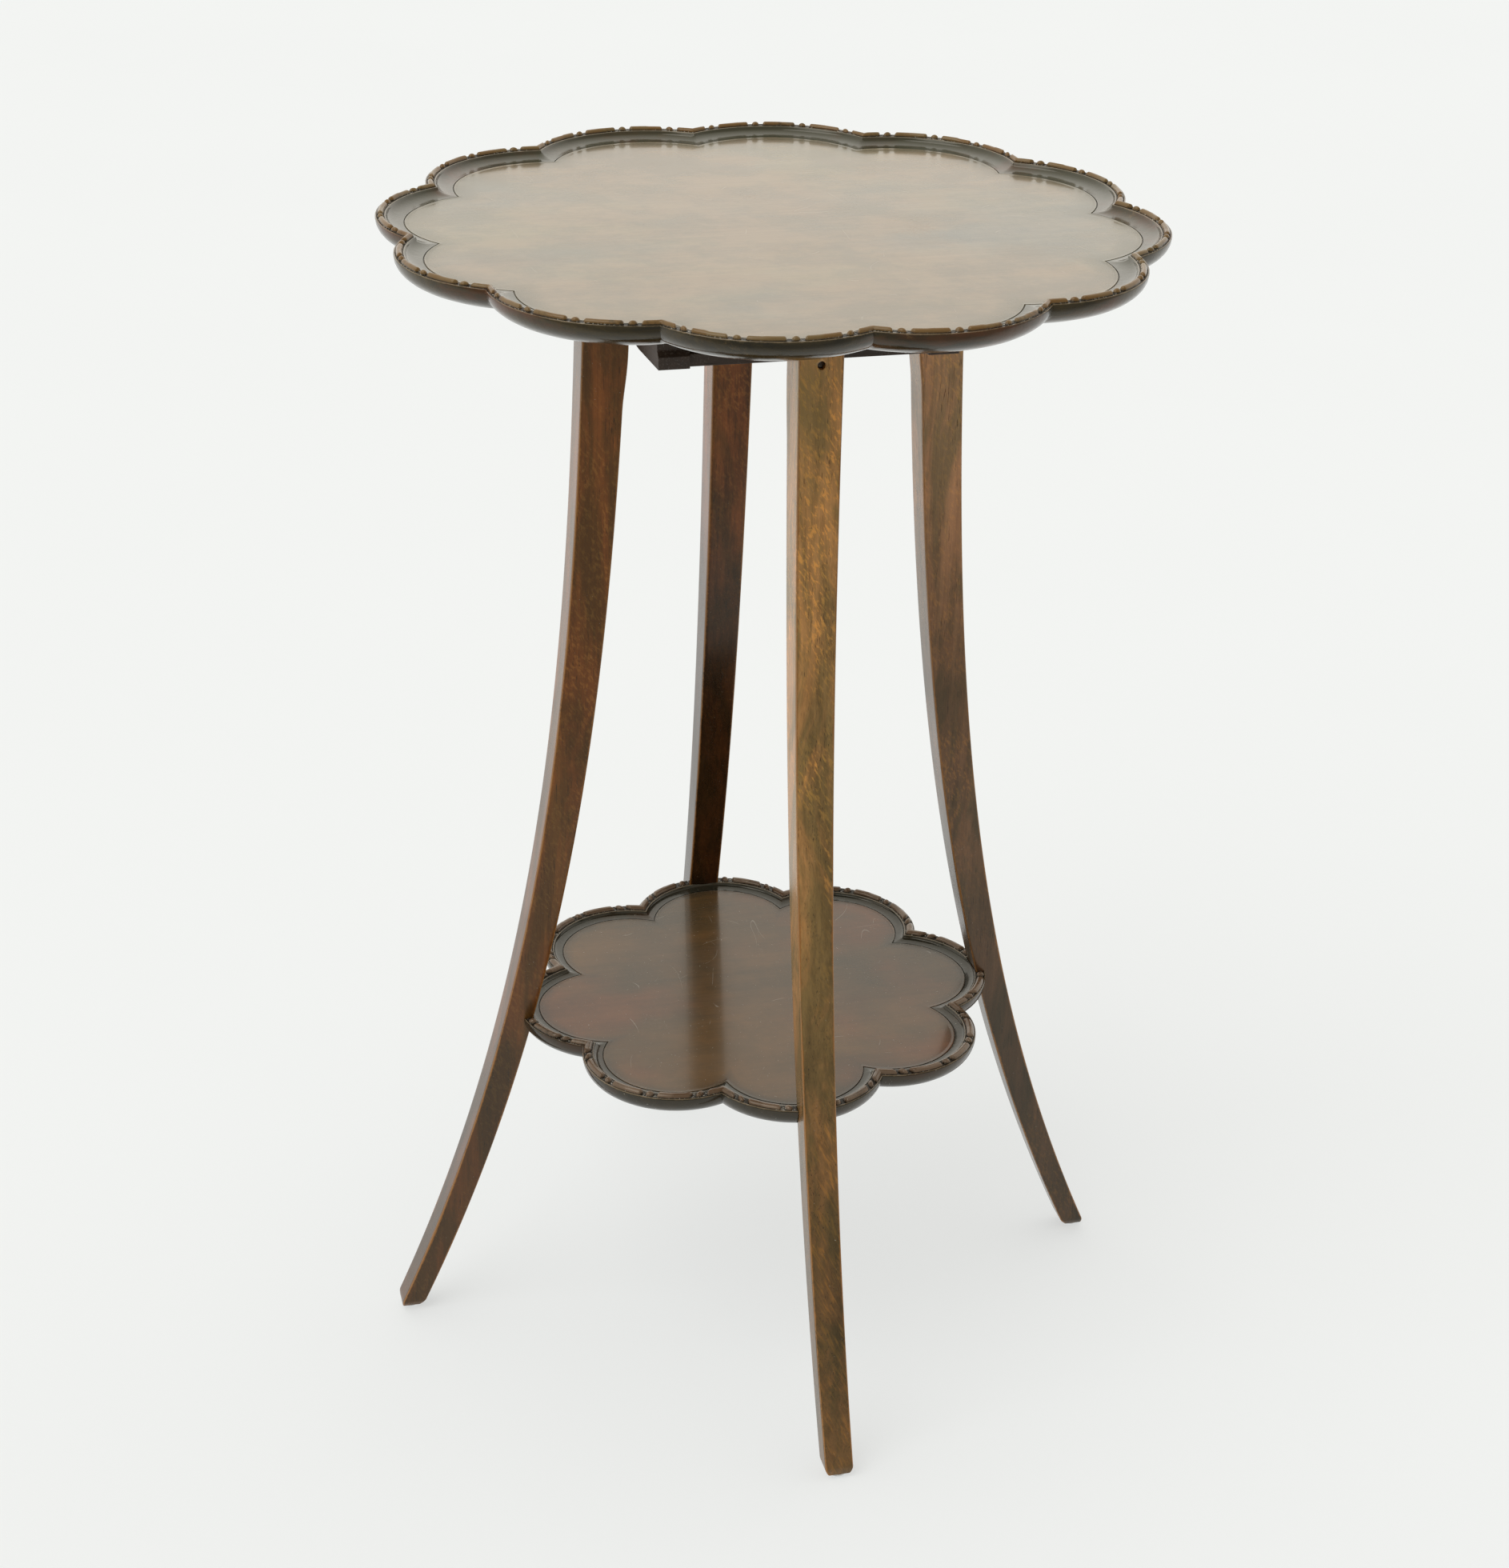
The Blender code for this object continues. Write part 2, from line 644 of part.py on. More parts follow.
def make_frame():
    """Two side rails run front to back, and two cross rails fit between them."""
    reach = RAIL_INNER - GAP
    front = prism("front_rail", cross_rail_outline(-1), "X", -reach, reach, mahogany_frame)
    back = prism("back_rail", cross_rail_outline(1), "X", -reach, reach, mahogany_frame)
    half, low, high = mortise_limits()
    cutter = box(
        "front_rail_mortise",
        (-half, -RAIL_INNER - MORTISE_DEPTH, low),
        (half, -RAIL_INNER + 0.004, high),
        None,
    )
    combine(front, cutter, "DIFFERENCE")
    striker_z = (low + high) / 2
    for rail, sign in ((front, -1), (back, 1)):
        holes = []
        for z in LEG_SCREW_HEIGHTS:
            holes.append((pilot_hole(LEG_SCREW, LEG_PILOT), (0, sign * FRAME_HALF, z), (0, -sign, 0)))
        for side in (-1, 1):
            mouth = (side * reach, sign * CORNER_SCREW_Y, CORNER_SCREW_Z)
            holes.append((pilot_hole(CORNER_SCREW, CORNER_PILOT), mouth, (-side, 0, 0)))
        if rail is front:
            for side in (-1, 1):
                mouth = (side * STRIKER_SCREW_X, -RAIL_INNER, striker_z)
                holes.append((pilot_hole(CATCH_SCREW, STRIKER_PILOT), mouth, (0, -1, 0)))
        drill(rail, holes)
    for name, side in (("left", -1), ("right", 1)):
        low_x, high_x = sorted((side * RAIL_INNER, side * FRAME_HALF))
        rail = prism("side_rail_" + name, side_rail_outline(), "X", low_x, high_x, mahogany_frame)
        face = side * FRAME_HALF
        leg_pilot = pilot_hole(LEG_SCREW, LEG_PILOT)
        holes = [(leg_pilot, (face, 0, z), (-side, 0, 0)) for z in LEG_SCREW_HEIGHTS]
        for sign, end in ((-1, "front"), (1, "back")):
            mouth = (face, sign * CORNER_SCREW_Y, CORNER_SCREW_Z)
            through = sunk_hole(CORNER_SCREW, CORNER_SCREW_SINK, RAIL_THICK + 0.002)
            holes.append((through, mouth, (-side, 0, 0)))
            head = (face - side * CORNER_SCREW_SINK, sign * CORNER_SCREW_Y, CORNER_SCREW_Z)
            place_screw("corner_screw_" + end + "_" + name, corner_screw, head, (-side, 0, 0))
        pin_hole = hole(PIN_RADIUS + GAP, PIN_HOLE_IN_RAIL)
        holes.append((pin_hole, (face, PIVOT_Y, PIVOT_Z), (-side, 0, 0)))
        drill(rail, holes)


make_frame()


# Pivots

def lug_outline():
    """A hinge lug in Y,Z: square against the top and half round about the pivot below."""
    turn = np.radians(np.arange(-180, 1, 20))
    lower = [(PIVOT_Y + LUG_RADIUS * math.cos(a), PIVOT_Z + LUG_RADIUS * math.sin(a)) for a in turn]
    return lower + [(PIVOT_Y + LUG_RADIUS, FRAME_TOP), (PIVOT_Y - LUG_RADIUS, FRAME_TOP)]


def make_pivots():
    """Two lugs screwed under the top, each on a pin through its side rail."""
    lug_outer = RAIL_INNER - GAP
    seat = PIVOT_Z - LUG_RADIUS + LUG_SCREW_SINK
    top_holes = []
    for name, side in (("left", -1), ("right", 1)):
        low_x, high_x = sorted((side * LUG_INNER_X, side * lug_outer))
        lug = prism("hinge_lug_" + name, lug_outline(), "X", low_x, high_x, mahogany_frame)
        pin_hole = hole(PIN_RADIUS + GAP, PIN_IN_LUG)
        holes = [(pin_hole, (side * lug_outer, PIVOT_Y, PIVOT_Z), (-side, 0, 0))]
        for which, spot in zip(("inner", "outer"), LUG_SCREW_SPOTS):
            x = side * (LUG_INNER_X + spot)
            through = sunk_hole(LUG_SCREW, LUG_SCREW_SINK, 0.0400)
            holes.append((through, (x, PIVOT_Y, PIVOT_Z - LUG_RADIUS), (0, 0, 1)))
            place_screw("lug_screw_" + name + "_" + which, lug_screw, (x, PIVOT_Y, seat), (0, 0, 1))
            top_holes.append((pilot_hole(LUG_SCREW, LUG_PILOT), (x, PIVOT_Y, TOP_UNDERSIDE), (0, 0, 1)))
        drill(lug, holes)
        start = lug_outer - PIN_IN_LUG + 0.0010
        length = FRAME_HALF - GAP - start
        pin = rod_profile(PIN_RADIUS, length, PIN_NIB)
        turned("pivot_pin_" + name, pin, (side * start, PIVOT_Y, PIVOT_Z), (side, 0, 0), steel, sides=16)
    return top_holes


# Catch: a pad and a brass plate under the top, a sliding bolt in two bridges, and a striker on the rail

def make_catch():
    pad_low = FRAME_TOP - PAD_THICK
    plate_high = pad_low - GAP
    plate_low = plate_high - PLATE_THICK
    bolt_high = plate_low - GAP
    bolt_low = bolt_high - BOLT_THICK
    pad = box("catch_pad", (-PAD_HALF, PAD_FRONT, pad_low), (PAD_HALF, PAD_BACK, FRAME_TOP), mahogany_frame)
    plate = box("catch_plate", (-PAD_HALF, PAD_FRONT, plate_low), (PAD_HALF, PAD_BACK, plate_high), brass)
    clear = BOLT_WIDTH / 2 + GAP
    outer = clear + BRIDGE_WALL
    floor = bolt_low - GAP
    root = plate_low + PLATE_THICK / 3
    strap = [
        (-outer, root),
        (-outer, floor - BRIDGE_WALL),
        (outer, floor - BRIDGE_WALL),
        (outer, root),
        (clear, root),
        (clear, floor),
        (-clear, floor),
        (-clear, root),
    ]
    for number, middle in enumerate(BRIDGE_MIDDLES):
        half = BRIDGE_LENGTH / 2
        bridge = prism("bridge_" + str(number), strap, "Y", middle - half, middle + half, None)
        combine(plate, bridge, "UNION")
    bolt_nose = [
        (BOLT_FRONT, bolt_low + BOLT_EASE),
        (BOLT_FRONT + BOLT_EASE, bolt_low),
        (BOLT_BACK, bolt_low),
        (BOLT_BACK, bolt_high),
        (BOLT_FRONT + BOLT_EASE, bolt_high),
        (BOLT_FRONT, bolt_high - BOLT_EASE),
    ]
    bolt = prism("catch_bolt", bolt_nose, "X", -BOLT_WIDTH / 2, BOLT_WIDTH / 2, brass)
    seat = hole(KNOB_STEM + GAP, 0.8 * BOLT_THICK)
    drill(bolt, [(seat, (0, KNOB_Y, bolt_low), (0, 0, 1))])
    knob = [
        (0, 0),
        (0.0028, 0.0003),
        (0.0045, 0.0020),
        (0.0046, 0.0042),
        (0.0030, 0.0062),
        (0.0016, 0.0072),
        (0.0015, KNOB_NECK),
        (KNOB_STEM, KNOB_NECK),
        (KNOB_STEM, KNOB_NECK + 0.0024),
        (0, KNOB_NECK + 0.0024),
    ]
    foot = (0, KNOB_Y, bolt_low - GAP - KNOB_NECK)
    turned("catch_knob", knob, foot, (0, 0, 1), brass, sides=16)

    half, low, high = mortise_limits()
    face = -RAIL_INNER + GAP
    striker = box(
        "striker_plate",
        (-STRIKER_HALF, face, STRIKER_BOTTOM),
        (STRIKER_HALF, face + PLATE_THICK, STRIKER_TOP),
        brass,
    )
    slot = box("striker_slot", (-half, face - 0.002, low), (half, face + 0.004, high), None)
    combine(striker, slot, "DIFFERENCE")
    middle = (low + high) / 2
    plate_hole = sunk_hole(CATCH_SCREW, CATCH_SCREW_SINK, 5 * PLATE_THICK)
    striker_holes = []
    for name, side in (("left", -1), ("right", 1)):
        mouth = (side * STRIKER_SCREW_X, face + PLATE_THICK, middle)
        striker_holes.append((plate_hole, mouth, (0, -1, 0)))
        head = (side * STRIKER_SCREW_X, face + PLATE_THICK - CATCH_SCREW_SINK, middle)
        place_screw("striker_screw_" + name, catch_screw, head, (0, -1, 0))
    drill(striker, striker_holes)

    plate_holes = []
    pad_holes = []
    top_holes = []
    for end, y in (("front", PAD_FRONT + CATCH_SCREW_INSET), ("back", PAD_BACK - CATCH_SCREW_INSET)):
        for name, side in (("left", -1), ("right", 1)):
            x = side * CATCH_SCREW_X
            plate_holes.append((plate_hole, (x, y, plate_low), (0, 0, 1)))
            pad_holes.append((pilot_hole(CATCH_SCREW, PAD_THICK + 0.004), (x, y, pad_low), (0, 0, 1)))
            top_holes.append((pilot_hole(CATCH_SCREW, CATCH_PILOT), (x, y, TOP_UNDERSIDE), (0, 0, 1)))
            head = (x, y, plate_low + CATCH_SCREW_SINK)
            place_screw("catch_screw_" + end + "_" + name, catch_screw, head, (0, 0, 1))
    drill(plate, plate_holes)
    drill(pad, pad_holes)
    return top_holes


drill(top_board, make_pivots() + make_catch())


# Joints: the top's pieces hang on the pivot line, and the bolt's on their own slide

def hang_on(name, origin, pieces):
    """An empty on a joint's axis, which carries the pieces that move with it."""
    carrier = bpy.data.objects.new(name, None)
    bpy.context.scene.collection.objects.link(carrier)
    carrier.location = origin
    bpy.context.view_layer.update()
    for piece in pieces:
        piece.parent = carrier
        piece.matrix_parent_inverse = carrier.matrix_world.inverted()
    return carrier


def pieces_starting(*starts):
    return [o for o in bpy.data.objects if o.name.startswith(starts) and not o.hide_render]


slide = hang_on("slide_axis", (0, BOLT_FRONT, PIVOT_Z), pieces_starting("catch_bolt", "catch_knob"))
top_pieces = pieces_starting("top_board", "hinge_lug", "lug_screw", "catch_pad", "catch_plate", "catch_screw")
hang_on("tilt_axis", (0, PIVOT_Y, PIVOT_Z), top_pieces + [slide])
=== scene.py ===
# %% [markdown]
# # A small tilt-top table in mahogany
#
# The table has a twelve-lobed top with a carved rim, four sabre legs and an eight-lobed shelf. The
# working model already holds its sizes, its joints and every piece that moves. This lesson gives it
# its looks: the carving, the softened edges of the legs, the grain, the wear and the light.
#
# The first step loads that working model as a fixed frame. Each new piece is worked out from the
# boxes of the pieces in it, so nothing has to be fitted afterwards.

# %% Load the frame
import json
import math

import bmesh
import bpy
import numpy as np
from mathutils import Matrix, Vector

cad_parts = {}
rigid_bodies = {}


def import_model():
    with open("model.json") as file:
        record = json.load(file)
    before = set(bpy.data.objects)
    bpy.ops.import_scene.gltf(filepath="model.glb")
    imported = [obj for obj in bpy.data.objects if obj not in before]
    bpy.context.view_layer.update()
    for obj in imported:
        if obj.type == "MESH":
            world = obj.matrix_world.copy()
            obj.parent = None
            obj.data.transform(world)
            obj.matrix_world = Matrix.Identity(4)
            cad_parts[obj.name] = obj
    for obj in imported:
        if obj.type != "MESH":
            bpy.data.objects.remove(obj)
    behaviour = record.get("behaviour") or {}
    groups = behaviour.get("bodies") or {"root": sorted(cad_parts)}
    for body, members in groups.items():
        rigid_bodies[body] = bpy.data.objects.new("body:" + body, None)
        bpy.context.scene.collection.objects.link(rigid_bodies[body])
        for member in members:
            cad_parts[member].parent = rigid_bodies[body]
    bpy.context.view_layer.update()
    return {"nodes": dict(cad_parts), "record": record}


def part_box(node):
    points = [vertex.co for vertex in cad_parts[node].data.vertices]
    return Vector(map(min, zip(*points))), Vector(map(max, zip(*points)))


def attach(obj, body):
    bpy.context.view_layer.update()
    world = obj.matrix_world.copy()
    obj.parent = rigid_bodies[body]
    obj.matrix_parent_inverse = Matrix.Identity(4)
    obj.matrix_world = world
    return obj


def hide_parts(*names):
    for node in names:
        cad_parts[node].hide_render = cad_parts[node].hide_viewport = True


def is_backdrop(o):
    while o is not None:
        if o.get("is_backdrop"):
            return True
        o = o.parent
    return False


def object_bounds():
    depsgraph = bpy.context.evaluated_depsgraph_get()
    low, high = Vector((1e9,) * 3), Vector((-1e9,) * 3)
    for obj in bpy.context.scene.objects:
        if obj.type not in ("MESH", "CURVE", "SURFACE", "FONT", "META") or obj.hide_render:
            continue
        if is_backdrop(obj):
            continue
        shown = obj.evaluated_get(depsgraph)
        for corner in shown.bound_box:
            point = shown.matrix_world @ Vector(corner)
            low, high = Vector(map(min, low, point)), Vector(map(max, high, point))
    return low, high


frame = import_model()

# %% [markdown]
# ## Heights and reaches
#
# The crest of each rim is the top of its board's box, and the board's thickness is the box's height.
# A leg runs from its own box's floor to its own box's top. Only what a box can't tell is written
# down here: how deep the dish is, how the lobes are drawn, and how a leg sweeps and tapers.

# %% Sizes of the boards and legs
MM = 0.001
TOP_LOBES, SHELF_LOBES = 12, 8
TOP_CUSP_SHARE = 0.933        # a cusp's radius as a share of the widest radius
SHELF_CUSP_SHARE = 0.867
SHELF_HALF = 0.1533           # half the shelf's width before the legs' notches are cut
TOP_DISH = 7.0 * MM           # crest down to the flat field
SHELF_DISH = 5.7 * MM
LEG_SWEEP = (0.1128, 0.1170, 0.1302, 0.2378)   # the outer face's four control radii, top to floor
LEG_WIDTH = (26.5 * MM, 17.5 * MM)             # at the top and at the floor
LEG_DEPTH = (27.0 * MM, 15.1 * MM)
SIDES = {"front": -math.pi / 2, "right": 0.0, "back": math.pi / 2, "left": math.pi}


def box(node):
    """The lowest and highest corners of a frame piece, as arrays."""
    low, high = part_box(node)
    return np.array(low), np.array(high)


top_low, top_high = box("top_board")
shelf_low, shelf_high = box("shelf_board")
leg_end = box("leg_front")[1][2]
rail_low, rail_high = box("side_rail_right")
HEIGHT = top_high[2]
FRAME_HALF = rail_high[0]
GAP = top_low[2] - leg_end    # the air between the top and a leg, and between a leg and the frame
print("crest of the top", round(HEIGHT, 4), "crest of the shelf", round(shelf_high[2], 4))

# %% [markdown]
# ## Putting a grid into a mesh
#
# Most pieces here are grids: rows of points that close on themselves like the hoops of a barrel. One
# helper turns such a grid into a mesh in a single call. It also stores values for each point, such as
# how worn or how hidden the surface is there, which the materials read later.

# %% Mesh helpers


def hoop_faces(rows, count):
    """Quads between closed rows: point (r, i) joins (r, i+1), (r+1, i+1) and (r+1, i)."""
    r, i = np.meshgrid(np.arange(rows - 1), np.arange(count), indexing="ij")
    j = (i + 1) % count
    quads = [r * count + i, r * count + j, (r + 1) * count + j, (r + 1) * count + i]
    return np.stack(quads, -1).reshape(-1, 4)


def fan_faces(ring_start, count, pole, turned_over):
    """Triangles from a closed row to one pole, turned over for the lower pole."""
    i = np.arange(count)
    j = (i + 1) % count
    first, second = (j, i) if turned_over else (i, j)
    return np.stack([ring_start + first, ring_start + second, np.full(count, pole)], -1)


def placed(name, data):
    """A new object in the scene, at the origin."""
    made = bpy.data.objects.new(name, data)
    bpy.context.scene.collection.objects.link(made)
    return made


def grid_piece(name, grid, poles, smooth, values=None):
    """A closed mesh from grid[row, around, xyz] and its two poles, first row's pole first. values is
    {name: array that spreads to [row, around]}, and angles under smooth degrees are shaded round."""
    rows, count = grid.shape[:2]
    verts = np.concatenate([grid.reshape(-1, 3), np.asarray(poles, float)])
    under, over = rows * count, rows * count + 1
    ends = [fan_faces(0, count, under, True), fan_faces((rows - 1) * count, count, over, False)]
    faces = hoop_faces(rows, count).tolist() + ends[0].tolist() + ends[1].tolist()
    mesh = bpy.data.meshes.new(name)
    mesh.from_pydata(verts.tolist(), [], faces)
    for key, value in (values or {}).items():
        value = np.broadcast_to(value, (rows, count))
        layer = mesh.attributes.new(key, "FLOAT", "POINT")
        padded = np.concatenate([value.ravel(), value[0, :1], value[-1, :1]])
        layer.data.foreach_set("value", padded.astype(np.float32))
    mesh.validate()
    mesh.shade_smooth()
    mesh.set_sharp_from_angle(angle=math.radians(smooth))
    return placed(name, mesh)


def count_triangles(piece):
    """Prints what a piece came to."""
    mesh = piece.evaluated_get(bpy.context.evaluated_depsgraph_get()).data
    mesh.calc_loop_triangles()
    print(piece.name, len(mesh.loop_triangles), "triangles")


# %% [markdown]
# ## The lobed outline
#
# Seen from above, each board is a ring of equal scallops. A scallop is part of a circle whose centre
# lies on the scallop's own middle line. Moving the outline inwards shrinks that circle and leaves its
# centre alone, so every line of the moulding stays parallel to the edge and they all mitre on one
# line at a cusp. Walking along a scallop in shares of its own arc, not in degrees about the table,
# keeps the carved bars square to the edge.

# %% The lobed outline


def lobe_plan(lobes, cusp_share, half_width, first_cusp):
    """Circle radius and centre of a scallop, with its half angle and first cusp, for a board that is
    half_width across to its widest point. For radius R and cusp radius C, the half chord is C sin a and
    the rise is R - C cos a, so the circle's radius is (chord^2 + rise^2) / (2 rise)."""
    half = math.pi / lobes
    chord = cusp_share * math.sin(half)
    rise = 1 - cusp_share * math.cos(half)
    arc = (chord**2 + rise**2) / (2 * rise)
    centre = 1 - arc
    middles = first_cusp + half * (1 + 2 * np.arange(lobes))
    widest = np.max(centre * np.cos(middles)) + arc
    size = half_width / widest
    arc, centre = arc * size, centre * size
    return {"lobes": lobes, "arc": arc, "centre": centre, "half": half, "first": first_cusp}


def lobed_rows(plan, inset, share):
    """Plan points [row, around, xy]. At an inset the scallop's circle has radius r = arc - inset and
    runs to the angle half + asin(centre sin(half) / r) on each side of its middle line."""
    radius = plan["arc"] - inset[:, None]
    limit = plan["half"] + np.arcsin(plan["centre"] * math.sin(plan["half"]) / radius)
    angle = (2 * share[None, :] - 1) * limit
    x = plan["centre"] + radius * np.cos(angle)
    y = radius * np.sin(angle)
    middle = plan["first"] + plan["half"] * (1 + 2 * np.arange(plan["lobes"]))
    cosine, sine = np.cos(middle)[:, None, None], np.sin(middle)[:, None, None]
    turned = np.stack([x * cosine - y * sine, x * sine + y * cosine], -1)
    return np.concatenate(list(turned), axis=1)


top_plan = lobe_plan(TOP_LOBES, TOP_CUSP_SHARE, top_high[0], 0.0)
shelf_plan = lobe_plan(SHELF_LOBES, SHELF_CUSP_SHARE, SHELF_HALF, math.pi / SHELF_LOBES)
print("top lobe circle", round(top_plan["arc"], 4), "shelf lobe circle", round(shelf_plan["arc"], 4))

# %% [markdown]
# ## Bars and beads
#
# The crest is carved with long round bars and single beads by turns, four of each to a lobe, and the
# bar at a cusp is bent round it. A carver would cut the hollows on each side of a bead with a gouge.
# The same shape comes from one formula: a half-round whose height also falls off towards the ends of
# a bar or all round a bead, h = sqrt(1 - q^2 - e^2). Here q runs across the crest, and e is zero along
# a bar and grows to one in the last millimetre before a hollow.

# %% Bars and beads
BARS_PER_LOBE = 4
BAR_HALF = 0.345              # from a bar's middle to its end, as a share of a repeat
BAR_ROUND = 0.050             # the length of its rounded end
BEAD_HALF = 0.080
HOLLOW_SPAN = 0.005           # the first steps down into the hollow


def repeat_stations():
    """Places along one repeat, from one bar's middle to the next, close together only where the shape
    changes: at a bar's end, in the hollow and over the bead."""
    stops = (0.0, BAR_HALF - BAR_ROUND, BAR_HALF + HOLLOW_SPAN, 0.5 - BEAD_HALF, 0.5)
    counts = (4, 6, 2, 7)       # steps along the bar, over its end, into the hollow and up the bead
    half = [np.linspace(a, b, n, endpoint=False) for a, b, n in zip(stops, stops[1:], counts)]
    half = np.concatenate(half)
    return np.concatenate([half, [0.5], 1 - half[:0:-1]])


def carving_end(u):
    """e along a repeat u: 0 along a bar, 1 and over in a hollow, |u - 1/2| / BEAD_HALF over the bead."""
    from_bar = np.minimum(u, 1 - u)
    bar = np.clip((from_bar - (BAR_HALF - BAR_ROUND)) / BAR_ROUND, 0, None)
    bead = np.abs(u - 0.5) / BEAD_HALF
    return np.minimum(bar, bead)


stations = repeat_stations()
lobe_share = ((np.arange(BARS_PER_LOBE)[:, None] + stations[None, :]) / BARS_PER_LOBE).ravel()
print(len(stations), "stations in a repeat,", len(lobe_share), "in a lobe")

# %% [markdown]
# ## The moulding in section
#
# A board's section starts under the edge, comes up the bowl, crosses a thin fillet, the carved crest
# and a second fillet, drops down the cove and ends in a fine incised line, the quirk, where the flat
# field begins. Each point is an inset from the edge and a drop from the crest. With them go three
# values: how far across the crest the point is (q), how hidden from the polisher's cloth it is, and how
# much of an edge it is, which is where the finish wears through and, on the fillets, where a pale
# highlight is painted.

# %% Sections of the two rims
CURVE_ROWS = 9
CREST_ROWS = 13
OFF_CREST = 2.0


def arc_down(start, stop, count, steep_first):
    """A quarter ellipse between two section points, without its first point. steep_first makes a cove,
    the other way a bowl: x = x0 + dx (1 - cos a) with y = y0 + dy sin a, or the two swapped."""
    a = np.linspace(0, math.pi / 2, count + 1)[1:]
    slow, fast = 1 - np.cos(a), np.sin(a)
    across, down = (slow, fast) if steep_first else (fast, slow)
    x = start[0] + (stop[0] - start[0]) * across
    y = start[1] + (stop[1] - start[1]) * down
    return np.stack([x, y], 1)


def rim_section(reach, thick, side_top, crest_in, crest_out, floor, cove_end, dish, field_steps):
    """One rim: the bowl from the underside, the outer fillet, the crest across q = -1 to 1, the inner
    fillet, the cove, the quirk and the first rings of the field. A row is (inset, drop, q, hidden,
    edge), and q is OFF_CREST everywhere but on the crest. Drops are positive downwards. The bowl runs
    from the inset reach at the drop thick to the edge at the drop side_top. The crest lies from
    crest_in to crest_out, floor below its bars' tops, and the cove ends at cove_end."""
    bowl = arc_down((reach, thick), (0.0, side_top), CURVE_ROWS, False)
    rows = [(reach, thick, OFF_CREST, 0.0, 0.0)]
    rows += [(x, d, OFF_CREST, 0.0, 0.0) for x, d in bowl]
    lip = floor + 0.2 * MM
    rows += [
        (0.05 * MM, lip, OFF_CREST, 0.0, 0.6),
        (0.30 * MM, floor - 0.15 * MM, OFF_CREST, 0.0, 1.0),
        (0.70 * MM, floor - 0.15 * MM, OFF_CREST, 0.0, 0.8),
        (crest_in - 0.15 * MM, floor + 0.15 * MM, OFF_CREST, 0.8, 0.0),
    ]
    q = np.sin(np.linspace(-math.pi / 2, math.pi / 2, CREST_ROWS))
    middle, half = (crest_in + crest_out) / 2, (crest_out - crest_in) / 2
    rows += [(middle + half * v, floor, v, 0.0, 0.0) for v in q]
    rows += [
        (crest_out + 0.20 * MM, floor + 0.15 * MM, OFF_CREST, 0.8, 0.0),
        (crest_out + 0.50 * MM, floor - 0.10 * MM, OFF_CREST, 0.0, 0.8),
        (crest_out + 0.90 * MM, floor - 0.05 * MM, OFF_CREST, 0.0, 1.0),
        (crest_out + 1.20 * MM, floor + 0.25 * MM, OFF_CREST, 0.0, 0.3),
    ]
    cove = arc_down((crest_out + 1.25 * MM, floor + 0.6 * MM), (cove_end, dish), CURVE_ROWS, True)
    rows += [(x, d, OFF_CREST, 0.0, 0.0) for x, d in cove]
    rows += [
        (cove_end + 0.15 * MM, dish + 0.55 * MM, OFF_CREST, 1.0, 0.0),
        (cove_end + 0.50 * MM, dish + 0.50 * MM, OFF_CREST, 0.3, 0.0),
        (cove_end + 0.75 * MM, dish - 0.10 * MM, OFF_CREST, 0.0, 0.6),
        (cove_end + 1.40 * MM, dish - 0.10 * MM, OFF_CREST, 0.0, 0.4),
        (cove_end + 2.00 * MM, dish, OFF_CREST, 0.1, 0.0),
    ]
    rows += [(cove_end + step, dish, OFF_CREST, 0.0, 0.0) for step in field_steps]
    return np.array(rows)


TOP_THICK = top_high[2] - top_low[2]
SHELF_THICK = shelf_high[2] - shelf_low[2]
top_section = rim_section(
    reach=25.5 * MM,
    thick=TOP_THICK,
    side_top=3.5 * MM,
    crest_in=1.3 * MM,
    crest_out=5.0 * MM,
    floor=2.5 * MM,
    cove_end=16.2 * MM,
    dish=TOP_DISH,
    field_steps=(3.5 * MM, 6.0 * MM, 10.0 * MM, 16.0 * MM),
)
shelf_section = rim_section(
    reach=10.0 * MM,
    thick=SHELF_THICK,
    side_top=3.6 * MM,
    crest_in=0.9 * MM,
    crest_out=5.9 * MM,
    floor=2.7 * MM,
    cove_end=12.6 * MM,
    dish=SHELF_DISH,
    field_steps=(3.2 * MM, 5.0 * MM, 8.0 * MM),
)
print("rows in a section:", len(top_section), len(shelf_section))

# %% [markdown]
# ## Carving a board
#
# The grid is the section carried round the outline. Only the crest's rows rise, by the bars' and
# beads' formula. Every bar is a little different in height, because it was cut by hand and has been
# rubbed ever since, so each gets its own small share of wear from a seeded draw.

# %% Carve a board
BAR_WEAR = 0.16               # the most that a bar has lost of its height


